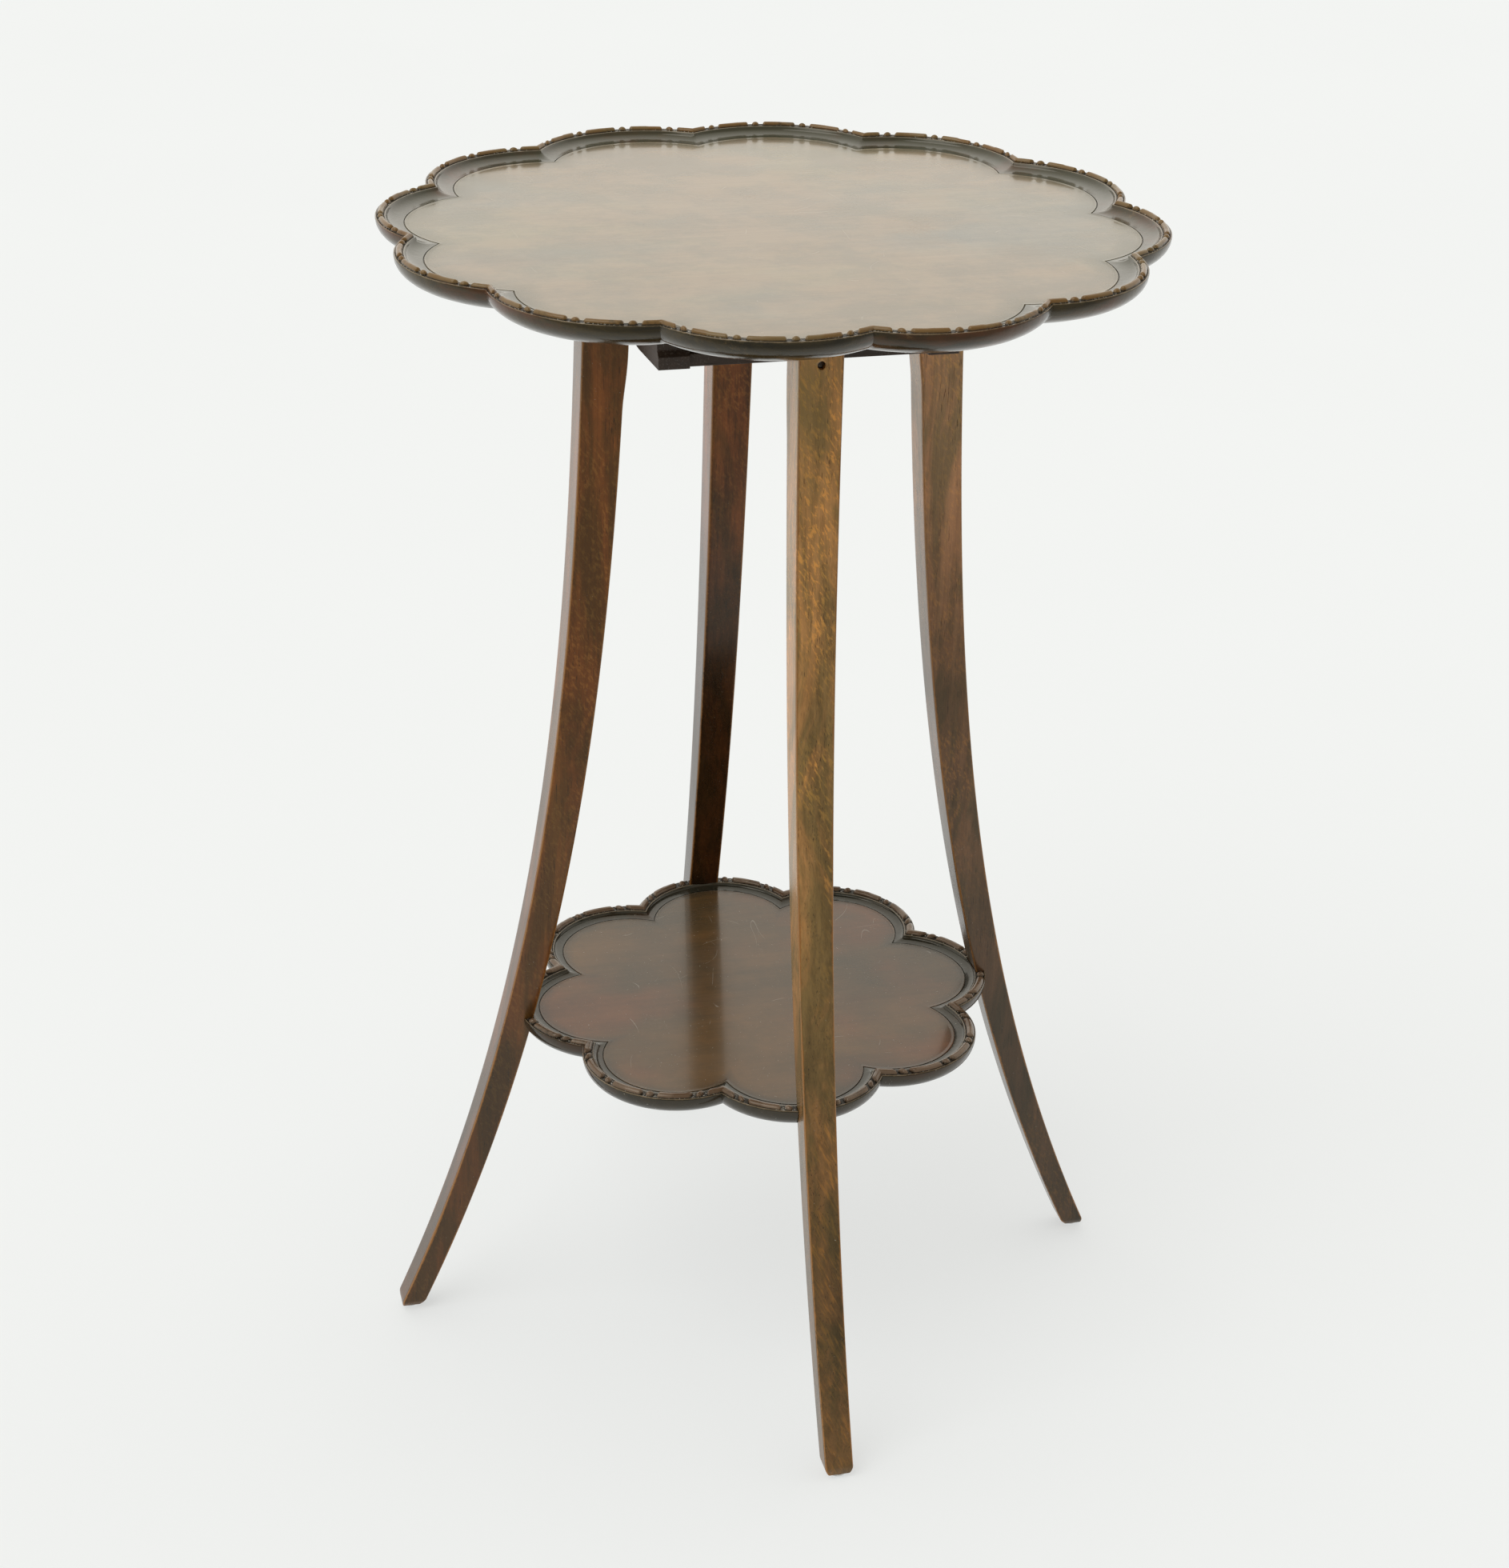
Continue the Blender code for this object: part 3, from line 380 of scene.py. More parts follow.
def carved_board(name, plan, rows, crest, lift, seed):
    """A board whose height is crest - drop + lift * wear * sqrt(1 - q^2 - e^2). Its points store
    crest_top, how high on a bar or bead; hidden; edge; own, a bar's share of its own colour; near_rim,
    1 beside the quirk and 0 where the field's rings end; and field, cove and under, 1 on that part."""
    inset, drop, q, hidden, edge = rows.T
    flat = lobed_rows(plan, inset, lobe_share)
    repeats = plan["lobes"] * BARS_PER_LOBE
    e = np.tile(carving_end(stations), repeats)
    rise = np.sqrt(np.clip(1 - q[:, None] ** 2 - e[None, :] ** 2, 0, None))
    rng = np.random.default_rng(seed)
    wear = np.repeat(1 - BAR_WEAR * rng.random(repeats), len(stations))
    own = np.repeat(rng.random(repeats), len(stations))
    height = crest - drop[:, None] + lift * wear[None, :] * rise
    grid = np.concatenate([flat, height[..., None]], -1)
    on_crest = np.abs(q) <= 1
    row = np.arange(len(rows))
    quirk = int(np.flatnonzero(hidden >= 1.0)[-1])
    field = row > quirk
    near_rim = np.where(field, 1 - (inset - inset[quirk]) / (inset[-1] - inset[quirk]), 0.0)
    cove = (row > np.flatnonzero(on_crest)[-1]) & ~field
    by_row = {"edge": edge, "field": field, "under": row == 0, "cove": cove, "near_rim": near_rim}
    values = {key: value.astype(float)[:, None] for key, value in by_row.items()}
    values["crest_top"] = np.where(on_crest[:, None], rise, 0.0)
    values["hidden"] = np.where(on_crest[:, None], 1 - np.clip(3.0 * rise, 0, 1), hidden[:, None])
    values["own"] = own[None, :]
    poles = [(0, 0, crest - drop[0]), (0, 0, crest - drop[-1])]
    return grid_piece(name, grid, poles, 40, values)


top_lift = top_section[:, 1][np.abs(top_section[:, 2]) <= 1].max()
carved_top = carved_board("carved_top", top_plan, top_section, HEIGHT, top_lift, 11)
shelf_lift = shelf_section[:, 1][np.abs(shelf_section[:, 2]) <= 1].max()
carved_shelf = carved_board("carved_shelf", shelf_plan, shelf_section, shelf_high[2], shelf_lift, 12)
count_triangles(carved_top)
count_triangles(carved_shelf)
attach(carved_top, "top")
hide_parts("top_board")
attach(carved_shelf, "base")
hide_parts("shelf_board")

# %% [markdown]
# ## The sweep of a leg
#
# A sabre leg is sawn from a board to a curve and then tapered on all four sides. Its outer face
# follows a cubic curve from the frame to the floor, and its width and depth shrink evenly with the
# way down. At the top the inner face is straight, because it is screwed flat against the frame.

# %% The sweep of a leg
SEAT_LOW = rail_low[2] - 45.0 * MM
SEAT_HIGH = rail_low[2] - 3.0 * MM


def leg_faces(z):
    """Inner radius, outer radius and half width of a leg at heights z. With t = 1 - z / HEIGHT and
    s = 1 - t the outer radius is a s^3 + 3 b s^2 t + 3 c s t^2 + d t^3."""
    z = np.asarray(z, float)
    t = 1 - z / HEIGHT
    s = 1 - t
    a, b, c, d = LEG_SWEEP
    outer = a * s**3 + 3 * b * s**2 * t + 3 * c * s * t**2 + d * t**3
    depth = LEG_DEPTH[0] + (LEG_DEPTH[1] - LEG_DEPTH[0]) * t
    half = (LEG_WIDTH[0] + (LEG_WIDTH[1] - LEG_WIDTH[0]) * t) / 2
    blend = np.clip((z - SEAT_LOW) / (SEAT_HIGH - SEAT_LOW), 0, 1)
    blend = blend**2 * (3 - 2 * blend)
    inner = (outer - depth) * (1 - blend) + (FRAME_HALF + GAP) * blend
    return inner, outer, half


print("leg at the floor", [round(float(v), 4) for v in leg_faces(0.0)])

# %% [markdown]
# ## Notching the shelf round the legs
#
# The shelf is let in between the legs: a square notch takes each one, and the rim's carving stops
# against the leg's side. A Boolean cut does this best, because the notch crosses hundreds of faces of
# carving. The cutter is a leg's own section, a hair larger, and it is thrown away afterwards.

# %% Notch the shelf
NOTCH_GAP = 0.4 * MM
PAST = 4 * MM                 # how far a notch runs past the shelf, above and below
PAST_OUT = 20 * MM            # and outwards, past the leg


def wedge(name, rings):
    """A closed body from rings of four corners, lowest first."""
    rings = np.asarray(rings)
    faces = hoop_faces(len(rings), 4).tolist() + [[3, 2, 1, 0]]
    faces.append(list(range(4 * len(rings) - 4, 4 * len(rings))))
    mesh = bpy.data.meshes.new(name)
    mesh.from_pydata(rings.reshape(-1, 3).tolist(), [], faces)
    return placed(name, mesh)


def turned_to(points, angle):
    """Points [.., radial, across, z] turned to the side at that angle."""
    radial, across, z = np.moveaxis(np.asarray(points, float), -1, 0)
    cosine, sine = math.cos(angle), math.sin(angle)
    return np.stack([radial * cosine - across * sine, radial * sine + across * cosine, z], -1)


def cut(piece, tools):
    """Takes the tools away from a piece, keeps the result as its mesh and deletes the tools."""
    for tool in tools:
        step = piece.modifiers.new(tool.name, "BOOLEAN")
        step.operation = "DIFFERENCE"
        step.object = tool
        step.solver = "EXACT"
    bpy.context.view_layer.update()
    done = bpy.data.meshes.new_from_object(piece.evaluated_get(bpy.context.evaluated_depsgraph_get()))
    done.name = piece.name
    piece.modifiers.clear()
    piece.data = done
    for tool in tools:
        bpy.data.objects.remove(tool)


notches = []
for side, angle in SIDES.items():
    rings = []
    for z in (shelf_low[2] - PAST, shelf_high[2] - SHELF_DISH, shelf_high[2] + PAST):
        inner, outer, half = leg_faces(z)
        inner, outer, half = inner - NOTCH_GAP, outer + PAST_OUT, half + NOTCH_GAP
        corners = [(inner, -half, z), (outer, -half, z), (outer, half, z), (inner, half, z)]
        rings.append(turned_to(corners, angle))
    notches.append(wedge("notch_" + side, rings))
cut(carved_shelf, notches)
count_triangles(carved_shelf)
held = [a.name for a in carved_shelf.data.attributes if a.data_type == "FLOAT"]
print("values kept by the cut:", held)

# %% [markdown]
# ## The legs
#
# Each leg is a rounded square carried down the sweep. The square's corners are small quarter circles,
# because eighty years of hands and dusters have softened them, and they are where the dark polish
# has rubbed through to orange wood. Each point stores how close it is to a corner, and the polish
# reads that value. The back leg's end is sloped off, so that the top can swing down past it.

# %% Carry the section down the leg
LEG_CORNER = 1.15 * MM
FOOT_ROUND = 1.6 * MM         # how far the foot's edge is rounded in
FOOT_RISE = 4.0 * MM          # and how far up the rounding reaches
FOOT_ROWS, LEG_ROWS = 8, 150
FIRST_ROW = 6 * MM            # the first row above the foot's rounding
END_BEVEL = 0.4 * MM
WORN_FOOT = 9 * MM            # how far up the foot is scuffed
CORNER_STEPS = 5
FACE_SPOTS = ((-0.80, 0.22), (-0.45, 0.0), (0.0, 0.0), (0.45, 0.0), (0.80, 0.22))   # (place, wear)
BACK_SLOPE = (0.0990, 0.1150)  # where the back leg's sloped end starts and stops, going out
BACK_DROP = 6.7 * MM          # how far it falls, with a first small step of BACK_EASE
BACK_EASE = 0.3 * MM


def square_section():
    """Round the section: the corner each point belongs to, its outward direction and how much of an
    arris it is. A point sits at corner * (half - r) + direction * r."""
    corner, direction, arris = [], [], []
    for k in range(4):
        middle = math.pi / 4 + k * math.pi / 2
        spot = np.sign([math.cos(middle), math.sin(middle)])
        swing = np.linspace(-math.pi / 4, math.pi / 4, CORNER_STEPS)
        corner += [spot] * CORNER_STEPS
        direction += [(math.cos(middle + s), math.sin(middle + s)) for s in swing]
        arris += list(1 - 0.35 * np.abs(swing) / (math.pi / 4))
        face = middle + math.pi / 4
        normal = np.array([math.cos(face), math.sin(face)]).round(6)
        along = np.array([-normal[1], normal[0]])
        for share, worn in FACE_SPOTS:
            corner.append(normal + along * share)
            direction.append(tuple(normal))
            arris.append(worn)
    return np.array(corner), np.array(direction), np.array(arris)


def back_leg_limit(y, full):
    """Height of the sloped end of the back leg at a distance y from the middle."""
    share = np.clip((y - BACK_SLOPE[0]) / (BACK_SLOPE[1] - BACK_SLOPE[0]), 0, 1)
    return full - BACK_EASE * (share > 0) - (BACK_DROP - BACK_EASE) * share


def sabre_leg(side, angle):
    """One leg as a grid [height, around]. The foot is rounded in and the top end is flat."""
    low, high = box("leg_" + side)
    corner, direction, arris = square_section()
    foot = low[2] + FOOT_RISE * (1 - np.cos(np.linspace(0, math.pi / 2, FOOT_ROWS)))
    shaft = np.linspace(low[2] + FIRST_ROW, high[2] - END_BEVEL, LEG_ROWS)
    z = np.concatenate([foot, shaft, [high[2]]])
    rise = np.clip((z - low[2]) / FOOT_RISE, 0, 1)
    shrink = FOOT_ROUND * (1 - rise) ** 1.5
    shrink[-1] = END_BEVEL
    inner, outer, half = leg_faces(z)
    middle, deep = (inner + outer) / 2, (outer - inner) / 2 - shrink
    wide = half - shrink
    radial = middle[:, None] + corner[:, 0] * (deep[:, None] - LEG_CORNER) + direction[:, 0] * LEG_CORNER
    across = corner[:, 1] * (wide[:, None] - LEG_CORNER) + direction[:, 1] * LEG_CORNER
    height = np.broadcast_to(z[:, None], radial.shape)
    if side == "back":
        share = (back_leg_limit(radial, high[2]) - SEAT_HIGH) / (high[2] - SEAT_HIGH)
        height = np.where(height > SEAT_HIGH, SEAT_HIGH + (height - SEAT_HIGH) * share, height)
    points = turned_to(np.stack([radial, across, height], -1), angle)
    scuffed = 0.7 * np.exp(-((z - low[2]) / WORN_FOOT) ** 2)
    wear = np.maximum(arris[None, :], scuffed[:, None])
    poles = [points[0].mean(0), points[-1].mean(0)]
    return grid_piece("sabre_leg_" + side, points, poles, 50, {"edge": wear})


legs = {side: sabre_leg(side, angle) for side, angle in SIDES.items()}
count_triangles(legs["front"])

# %% [markdown]
# ## Screw holes in the legs
#
# Two small screws hold each leg to the frame, sunk two millimetres below the face, so that little more
# than a dark hole shows. A turned surface, a profile of radius and depth spun about its axis, makes
# the cutter and the screw alike.

# %% Turned surfaces and the screw holes


def spun_grid(profile, sides, place, direction):
    """profile[(radius, depth)] spun about direction at place: P + d * D + r (cos a U + sin a V)."""
    profile = np.asarray(profile, float)
    turn = np.linspace(0, 2 * math.pi, sides, endpoint=False)
    axis = Vector(direction).normalized()
    first = axis.orthogonal().normalized()
    second = axis.cross(first)
    ring = np.outer(np.cos(turn), first) + np.outer(np.sin(turn), second)
    radius, depth = profile[:, 0][:, None, None], profile[:, 1][:, None, None]
    return np.asarray(place) + depth * np.array(axis) + radius * ring


def spun_piece(name, profile, sides, place, direction, smooth):
    """A closed turned piece. Its profile runs from one pole to the other, poles left out."""
    grid = spun_grid(profile, sides, place, direction)
    axis = np.array(Vector(direction).normalized())
    poles = [np.asarray(place) + axis * profile[end][1] for end in (0, -1)]
    return grid_piece(name, grid, poles, smooth)


def screw_places(side):
    """Where the two heads of a leg's screws are, from the frame, as (name, middle of the head)."""
    out = np.array([math.cos(SIDES[side]), math.sin(SIDES[side]), 0.0])
    places = []
    for level in ("lower", "upper"):
        node = "leg_screw_" + side + "_" + level
        low, high = box(node)
        middle = (low + high) / 2
        reach = max(abs(low @ out), abs(high @ out))
        places.append((node, out * reach + np.array([0, 0, middle[2]]), out))
    return places


HEAD = 2.2 * MM               # a screw head's radius
for side in SIDES:
    tools = []
    for node, head, out in screw_places(side):
        cone = [
            (HEAD + 0.90 * MM, 3.0 * MM),
            (HEAD + 0.30 * MM, 2.05 * MM),
            (HEAD + 0.10 * MM, 1.70 * MM),
            (HEAD + 0.10 * MM, -0.5 * MM),
            (1.3 * MM, -1.8 * MM),
            (1.3 * MM, -6.0 * MM),
        ]
        tools.append(spun_piece("hole_" + node, cone[::-1], 32, head, out, 35))
    cut(legs[side], tools)
    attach(legs[side], "base")
    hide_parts("leg_" + side)
print("legs cut:", sorted(legs))

# %% [markdown]
# ## Screw heads and glides
#
# Close up, a screw head is a shallow dome with a worn slot, and a glide is a smooth pressed button on
# a pin. Both are turned. The slot is cut with a thin wedge, and stands at its own angle in each head.
# Only the head and a short shank are made, since the rest is buried in wood.

# %% Make the screws and the glides
SLOT_HALF = 0.42 * MM
SLOT_DEEP = 0.75 * MM
GLIDE_DOME = 2.3 * MM
for side in SIDES:
    for node, head, out in screw_places(side):
        shape = [
            (0.7 * MM, -8.0 * MM),
            (1.1 * MM, -1.8 * MM),
            (HEAD - 0.15 * MM, -0.42 * MM),
            (HEAD, -0.20 * MM),
            (HEAD - 0.12 * MM, -0.08 * MM),
            (HEAD * 0.6, -0.02 * MM),
            (HEAD * 0.2, 0.0),
        ]
        screw = spun_piece("head_" + node, shape, 40, head, out, 50)
        lean = math.radians(25 + 40 * math.sin(7 * head[2] * 1000 + len(side)))
        u = np.cross(out, (0, 0, 1)) * math.cos(lean) + np.array([0, 0, 1.0]) * math.sin(lean)
        along, thin = u * (HEAD + 1 * MM), np.cross(out, u) * SLOT_HALF
        ring = np.array([along + thin, -along + thin, -along - thin, along - thin])
        slot = wedge("slot_" + node, [head + ring - out * SLOT_DEEP, head + ring + out * 1.0 * MM])
        cut(screw, [slot])
        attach(screw, "base")
        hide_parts(node)

for side, angle in SIDES.items():
    low, high = box("glide_" + side)
    radius = (high[0] - low[0]) / 2
    middle = np.array([(low[0] + high[0]) / 2, (low[1] + high[1]) / 2, 0.0])
    turn = np.linspace(0.15, math.pi / 2, 9)
    dome = [(radius * (0.45 + 0.55 * math.sin(a)), GLIDE_DOME * (1 - math.cos(a))) for a in turn]
    shape = [(0.45 * radius, 0.0)] + dome + [(radius, 2.55 * MM), (radius - 0.1 * MM, 2.6 * MM)]
    shape += [(1.0 * MM, 2.6 * MM), (1.0 * MM, 10.0 * MM), (0.3 * MM, 12.5 * MM)]
    glide = spun_piece("floor_glide_" + side, shape, 48, middle, (0, 0, 1), 50)
    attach(glide, "base")
    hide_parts("glide_" + side)
print("screws and glides made")

# %% [markdown]
# ## Softer edges on the frame
#
# The four rails, the hinge lugs and the catch's pad are plain joinery with their sharp edges eased by
# sandpaper. Their shapes are right already, so each is copied from the frame, its loose triangles are
# merged, and a narrow Bevel goes round every edge.

# %% Ease the edges of the joinery
EASE = 0.5 * MM


def eased(node, name, width, body):
    """A copy of a frame piece with its edges rounded over by width."""
    mesh = frame["nodes"][node].data.copy()
    form = bmesh.new()
    form.from_mesh(mesh)
    bmesh.ops.remove_doubles(form, verts=form.verts, dist=0.01 * MM)
    bmesh.ops.dissolve_limit(form, angle_limit=math.radians(1), verts=form.verts, edges=form.edges)
    form.to_mesh(mesh)
    form.free()
    piece = placed(name, mesh)
    bevel = piece.modifiers.new("eased", "BEVEL")
    bevel.width = width
    bevel.segments = 3
    bevel.limit_method = "ANGLE"
    bevel.angle_limit = math.radians(30)
    mesh.shade_smooth()
    mesh.set_sharp_from_angle(angle=math.radians(40))
    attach(piece, body)
    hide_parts(node)
    return piece


joinery = {
    "side_rail_left": "base",
    "side_rail_right": "base",
    "front_rail": "base",
    "back_rail": "base",
    "hinge_lug_left": "top",
    "hinge_lug_right": "top",
    "catch_pad": "top",
}
eased_pieces = {node: eased(node, "eased_" + node, EASE, body) for node, body in joinery.items()}
print("eased:", sorted(eased_pieces))

# %% [markdown]
# ## Wiring materials by name
#
# A finish is a small graph of nodes. Writing it is easier with one helper that makes a node, sets its
# options and wires its inputs, so that each line of a material reads like a sentence. Another opens
# a node group with named sockets, for the effects that several finishes share.

# %% Helpers for node graphs


def feed(tree, socket, value):
    """Links another node's output to a socket, or sets the socket to a number or a tuple."""
    if isinstance(value, bpy.types.NodeSocket):
        tree.links.new(value, socket)
    else:
        socket.default_value = value


def wire(tree, sockets, **values):
    """Feeds sockets by their names, with _ for a space, or by i0, i1 for their places."""
    for name, value in values.items():
        by_place = name[0] == "i" and name[1:].isdigit()
        feed(tree, sockets[int(name[1:]) if by_place else name.replace("_", " ")], value)


def put(tree, kind, options=None, **inputs):
    """Makes a node, sets its options and wires its inputs."""
    made = tree.nodes.new(kind)
    for name, value in (options or {}).items():
        setattr(made, name, value)
    wire(tree, made.inputs, **inputs)
    return made


def sums(tree, operation, *values, clamp=False):
    """A Math node's output."""
    wired = {"i" + str(n): v for n, v in enumerate(values)}
    return put(tree, "ShaderNodeMath", {"operation": operation, "use_clamp": clamp}, **wired).outputs[0]


def plus(tree, *values, clamp=False):
    return sums(tree, "ADD", *values, clamp=clamp)


def minus(tree, *values):
    return sums(tree, "SUBTRACT", *values)


def times(tree, *values, clamp=False):
    return sums(tree, "MULTIPLY", *values, clamp=clamp)


def between(tree, low, high, value):
    """0 below low, 1 above high and a smooth step between."""
    options = {"interpolation_type": "SMOOTHSTEP"}
    wired = {"Value": value, "From_Min": low, "From_Max": high}
    return put(tree, "ShaderNodeMapRange", options, **wired).outputs["Result"]


def blend(tree, share, first, second, mode="MIX"):
    """A colour between two, by share."""
    options = {"data_type": "RGBA", "blend_type": mode}
    return put(tree, "ShaderNodeMix", options, i0=share, i6=first, i7=second).outputs[2]


def stretched(tree, place, scale):
    """A place multiplied by a scale for each axis, in repeats to the metre."""
    made = put(tree, "ShaderNodeVectorMath", {"operation": "MULTIPLY"}, i0=place, i1=scale)
    return made.outputs[0]


def noise(tree, place, scale, detail=3.0, rough=0.55, twist=0.0):
    """A noise value over stretched coordinates."""
    spot = stretched(tree, place, scale)
    wired = {"Vector": spot, "Scale": 1.0, "Detail": detail, "Roughness": rough, "Distortion": twist}
    return put(tree, "ShaderNodeTexNoise", {}, **wired).outputs["Fac"]


def open_group(name, takes, gives):
    """A shader node group with its inner tree and its two ends. takes and gives are {name: kind}."""
    kinds = {"value": "NodeSocketFloat", "colour": "NodeSocketColor", "place": "NodeSocketVector"}
    tree = bpy.data.node_groups.new(name, "ShaderNodeTree")
    for label, kind in takes.items():
        tree.interface.new_socket(label, in_out="INPUT", socket_type=kinds[kind])
    for label, kind in gives.items():
        tree.interface.new_socket(label, in_out="OUTPUT", socket_type=kinds[kind])
    start = tree.nodes.new("NodeGroupInput")
    end = tree.nodes.new("NodeGroupOutput")
    return tree, start.outputs, end.inputs


def use(tree, group, **inputs):
    """Places a group in a material."""
    made = tree.nodes.new("ShaderNodeGroup")
    made.node_tree = group
    wire(tree, made.inputs, **inputs)
    return made.outputs


print("node helpers ready")

# %% [markdown]
# ## Mahogany grain
#
# Polished mahogany shows three things at once. Broad soft bands follow the board's length. Fine
# streaks run with them. Over both lie the pores, short dark dashes under half a millimetre wide.
# Each is a noise stretched along the grain, and the group takes the grain's direction as X, so a leg
# or a rail only turns its coordinates first. Figure is a wavy cross-shine that some boards have.

# %% Group: mahogany grain
PORE_COLOUR = (0.012, 0.006, 0.003, 1.0)


def make_grain():
    """Colour goes from dark to light by half bands, a third streaks, the rest hairs, and figure on
    top, with pores darkened over it."""
    tree, takes, gives = open_group(
        "mahogany_grain",
        {"Place": "place", "Light": "colour", "Dark": "colour", "Figure": "value", "Pores": "value"},
        {"Colour": "colour", "Height": "value", "Streak": "value"},
    )
    place = takes["Place"]
    bands = noise(tree, place, (2.2, 30.0, 30.0), 3.0, 0.5, 0.6)
    streaks = noise(tree, place, (7.0, 300.0, 300.0), 4.0, 0.6, 0.0)
    hairs = noise(tree, place, (16.0, 1100.0, 1100.0), 2.0, 0.6, 0.0)
    cross = noise(tree, place, (75.0, 14.0, 14.0), 2.0, 0.5, 0.8)
    mixed = plus(tree, times(tree, bands, 0.5), times(tree, streaks, 0.35))
    mixed = plus(tree, mixed, times(tree, hairs, 0.15))
    lift = times(tree, minus(tree, cross, 0.5), takes["Figure"])
    tone = between(tree, 0.34, 0.66, plus(tree, mixed, lift))
    colour = blend(tree, tone, takes["Dark"], takes["Light"])
    dashes = noise(tree, place, (95.0, 2100.0, 2100.0), 1.0, 0.5, 0.0)
    patches = between(tree, 0.40, 0.62, noise(tree, place, (20.0, 130.0, 130.0), 2.0))
    pores = times(tree, between(tree, 0.63, 0.70, dashes), times(tree, patches, takes["Pores"]))
    height = minus(tree, times(tree, streaks, 0.25), pores)
    wire(tree, gives, Colour=blend(tree, pores, colour, PORE_COLOUR), Height=height, Streak=mixed)
    return tree


grain_group = make_grain()
print("group:", grain_group.name)

# %% [markdown]
# ## Worn edges
#
# Polish goes first where things rub: the tops of the bars, the fillets and the legs' arrises. The
# pieces already store how much of an edge each point is. The group breaks that value up with noise,
# so the wear comes in runs and patches and doesn't look like a painted stripe.

# %% Group: worn edges


def make_wear():
    """Wear = smooth step of (edge + broad noise + fine noise), times Amount."""
    tree, takes, gives = open_group(
        "worn_edges", {"Place": "place", "Edge": "value", "Amount": "value"}, {"Wear": "value"}
    )
    broad = noise(tree, takes["Place"], (26.0, 26.0, 26.0), 3.0)
    fine = noise(tree, takes["Place"], (420.0, 420.0, 420.0), 3.0, 0.7)
    broken = plus(tree, times(tree, broad, 1.3), times(tree, fine, 0.9))
    total = minus(tree, plus(tree, takes["Edge"], broken), 1.10)
    wear = times(tree, between(tree, 0.50, 0.95, total), takes["Amount"], clamp=True)
    wire(tree, gives, Wear=times(tree, wear, between(tree, 0.05, 0.30, takes["Edge"])))
    return tree


wear_group = make_wear()
print("group:", wear_group.name)

# %% [markdown]
# ## Dust, dark wax and scratches
#
# Old wax and dirt turn the hollows nearly black, and pale dust lies over it in specks, most of all in
# the quirk. The flat field and the shelf carry a few hairline scratches and spots of paint. Both
# effects are masks, which each finish lays over its own colour.

# %% Groups: dust and scratches


def make_dust():
    """Grime follows the hidden value. Specks are the peaks of a fine noise, kept to the hidden places
    by Amount and let out on the open surface by Spread."""
    tree, takes, gives = open_group(
        "hollow_dust",
        {"Place": "place", "Hidden": "value", "Amount": "value", "Spread": "value"},
        {"Grime": "value", "Dust": "value"},
    )
    soft = noise(tree, takes["Place"], (60.0, 60.0, 60.0), 3.0)
    fine = noise(tree, takes["Place"], (900.0, 900.0, 900.0), 2.0, 0.6)
    runs = between(tree, 0.42, 0.62, noise(tree, takes["Place"], (34.0, 34.0, 34.0), 2.0))
    grime = times(tree, takes["Hidden"], between(tree, 0.15, 0.50, soft), clamp=True)
    crumbs = between(tree, 0.56, 0.66, fine)
    lodged = times(tree, times(tree, crumbs, runs), takes["Hidden"])
    loose = times(tree, between(tree, 0.735, 0.76, fine), takes["Spread"])
    dust = plus(tree, times(tree, lodged, takes["Amount"]), loose, clamp=True)
    wire(tree, gives, Grime=grime, Dust=dust)
    return tree


def make_scratches():
    """Hairlines where a slow noise crosses one half, broken into short runs by a second noise."""
    tree, takes, gives = open_group(
        "hairline_scratches", {"Place": "place", "Amount": "value"}, {"Scratch": "value"}
    )
    total = None
    for scale, level in (((9.0, 22.0, 9.0), 0.5), ((31.0, 8.0, 12.0), 0.47), ((14.0, 15.0, 20.0), 0.55)):
        slow = noise(tree, takes["Place"], scale, 1.0, 0.4, 0.3)
        away = sums(tree, "ABSOLUTE", minus(tree, slow, level))
        line = minus(tree, 1.0, between(tree, 0.0004, 0.0019, away))
        keep = between(tree, 0.60, 0.68, noise(tree, takes["Place"], tuple(2.7 * s for s in scale), 2.0))
        line = times(tree, line, keep)
        total = line if total is None else sums(tree, "MAXIMUM", total, line)
    wire(tree, gives, Scratch=times(tree, total, takes["Amount"]))
    return tree


dust_group = make_dust()
scratch_group = make_scratches()
print("groups:", dust_group.name, scratch_group.name)

# %% [markdown]
# ## Starting a finish
#
# Every finish reads Object coordinates, so the pattern stays with the piece when the top tilts. A
# Mapping turns them so that the grain runs along X, and a small shift keeps two boards from showing
# the same figure. A value that the mesh stores, such as its worn edges, is read by its name.

# %% Start a finish


def start_finish(name):
    """A new material with its tree and its Principled shader."""
    made = bpy.data.materials.new(name)
    made.use_nodes = True
    tree = made.node_tree
    return made, tree, tree.nodes["Principled BSDF"]


def grain_place(tree, turn, shift):
    """Object coordinates turned so that X runs with the grain, and moved along by shift."""
    place = tree.nodes.new("ShaderNodeTexCoord").outputs["Object"]
    turned = put(tree, "ShaderNodeMapping", {}, Vector=place, Location=shift, Rotation=turn)
    return place, turned.outputs["Vector"]


def paint(piece, finish):
    """Gives a piece that one finish."""
    piece.data.materials.clear()
    piece.data.materials.append(finish)


def stored(tree, name):
    """A value stored with the points of the mesh."""
    return put(tree, "ShaderNodeAttribute", {"attribute_name": name}).outputs["Fac"]


def bump(tree, height, distance, strength):
    """A normal from a height between 0 and 1, distance metres deep."""
    wired = {"Height": height, "Distance": distance, "Strength": strength}
    return put(tree, "ShaderNodeBump", {}, **wired).outputs["Normal"]


ALONG_X = (0.0, 0.0, 0.0)
ALONG_Y = (0.0, 0.0, -math.pi / 2)
ALONG_Z = (0.0, math.pi / 2, 0.0)
DUST_COLOUR = (0.62, 0.60, 0.54, 1.0)
GRIME_COLOUR = (0.010, 0.007, 0.005, 1.0)
WARM_SHINE = (1.0, 0.91, 0.72, 1.0)
print("finish helpers ready")
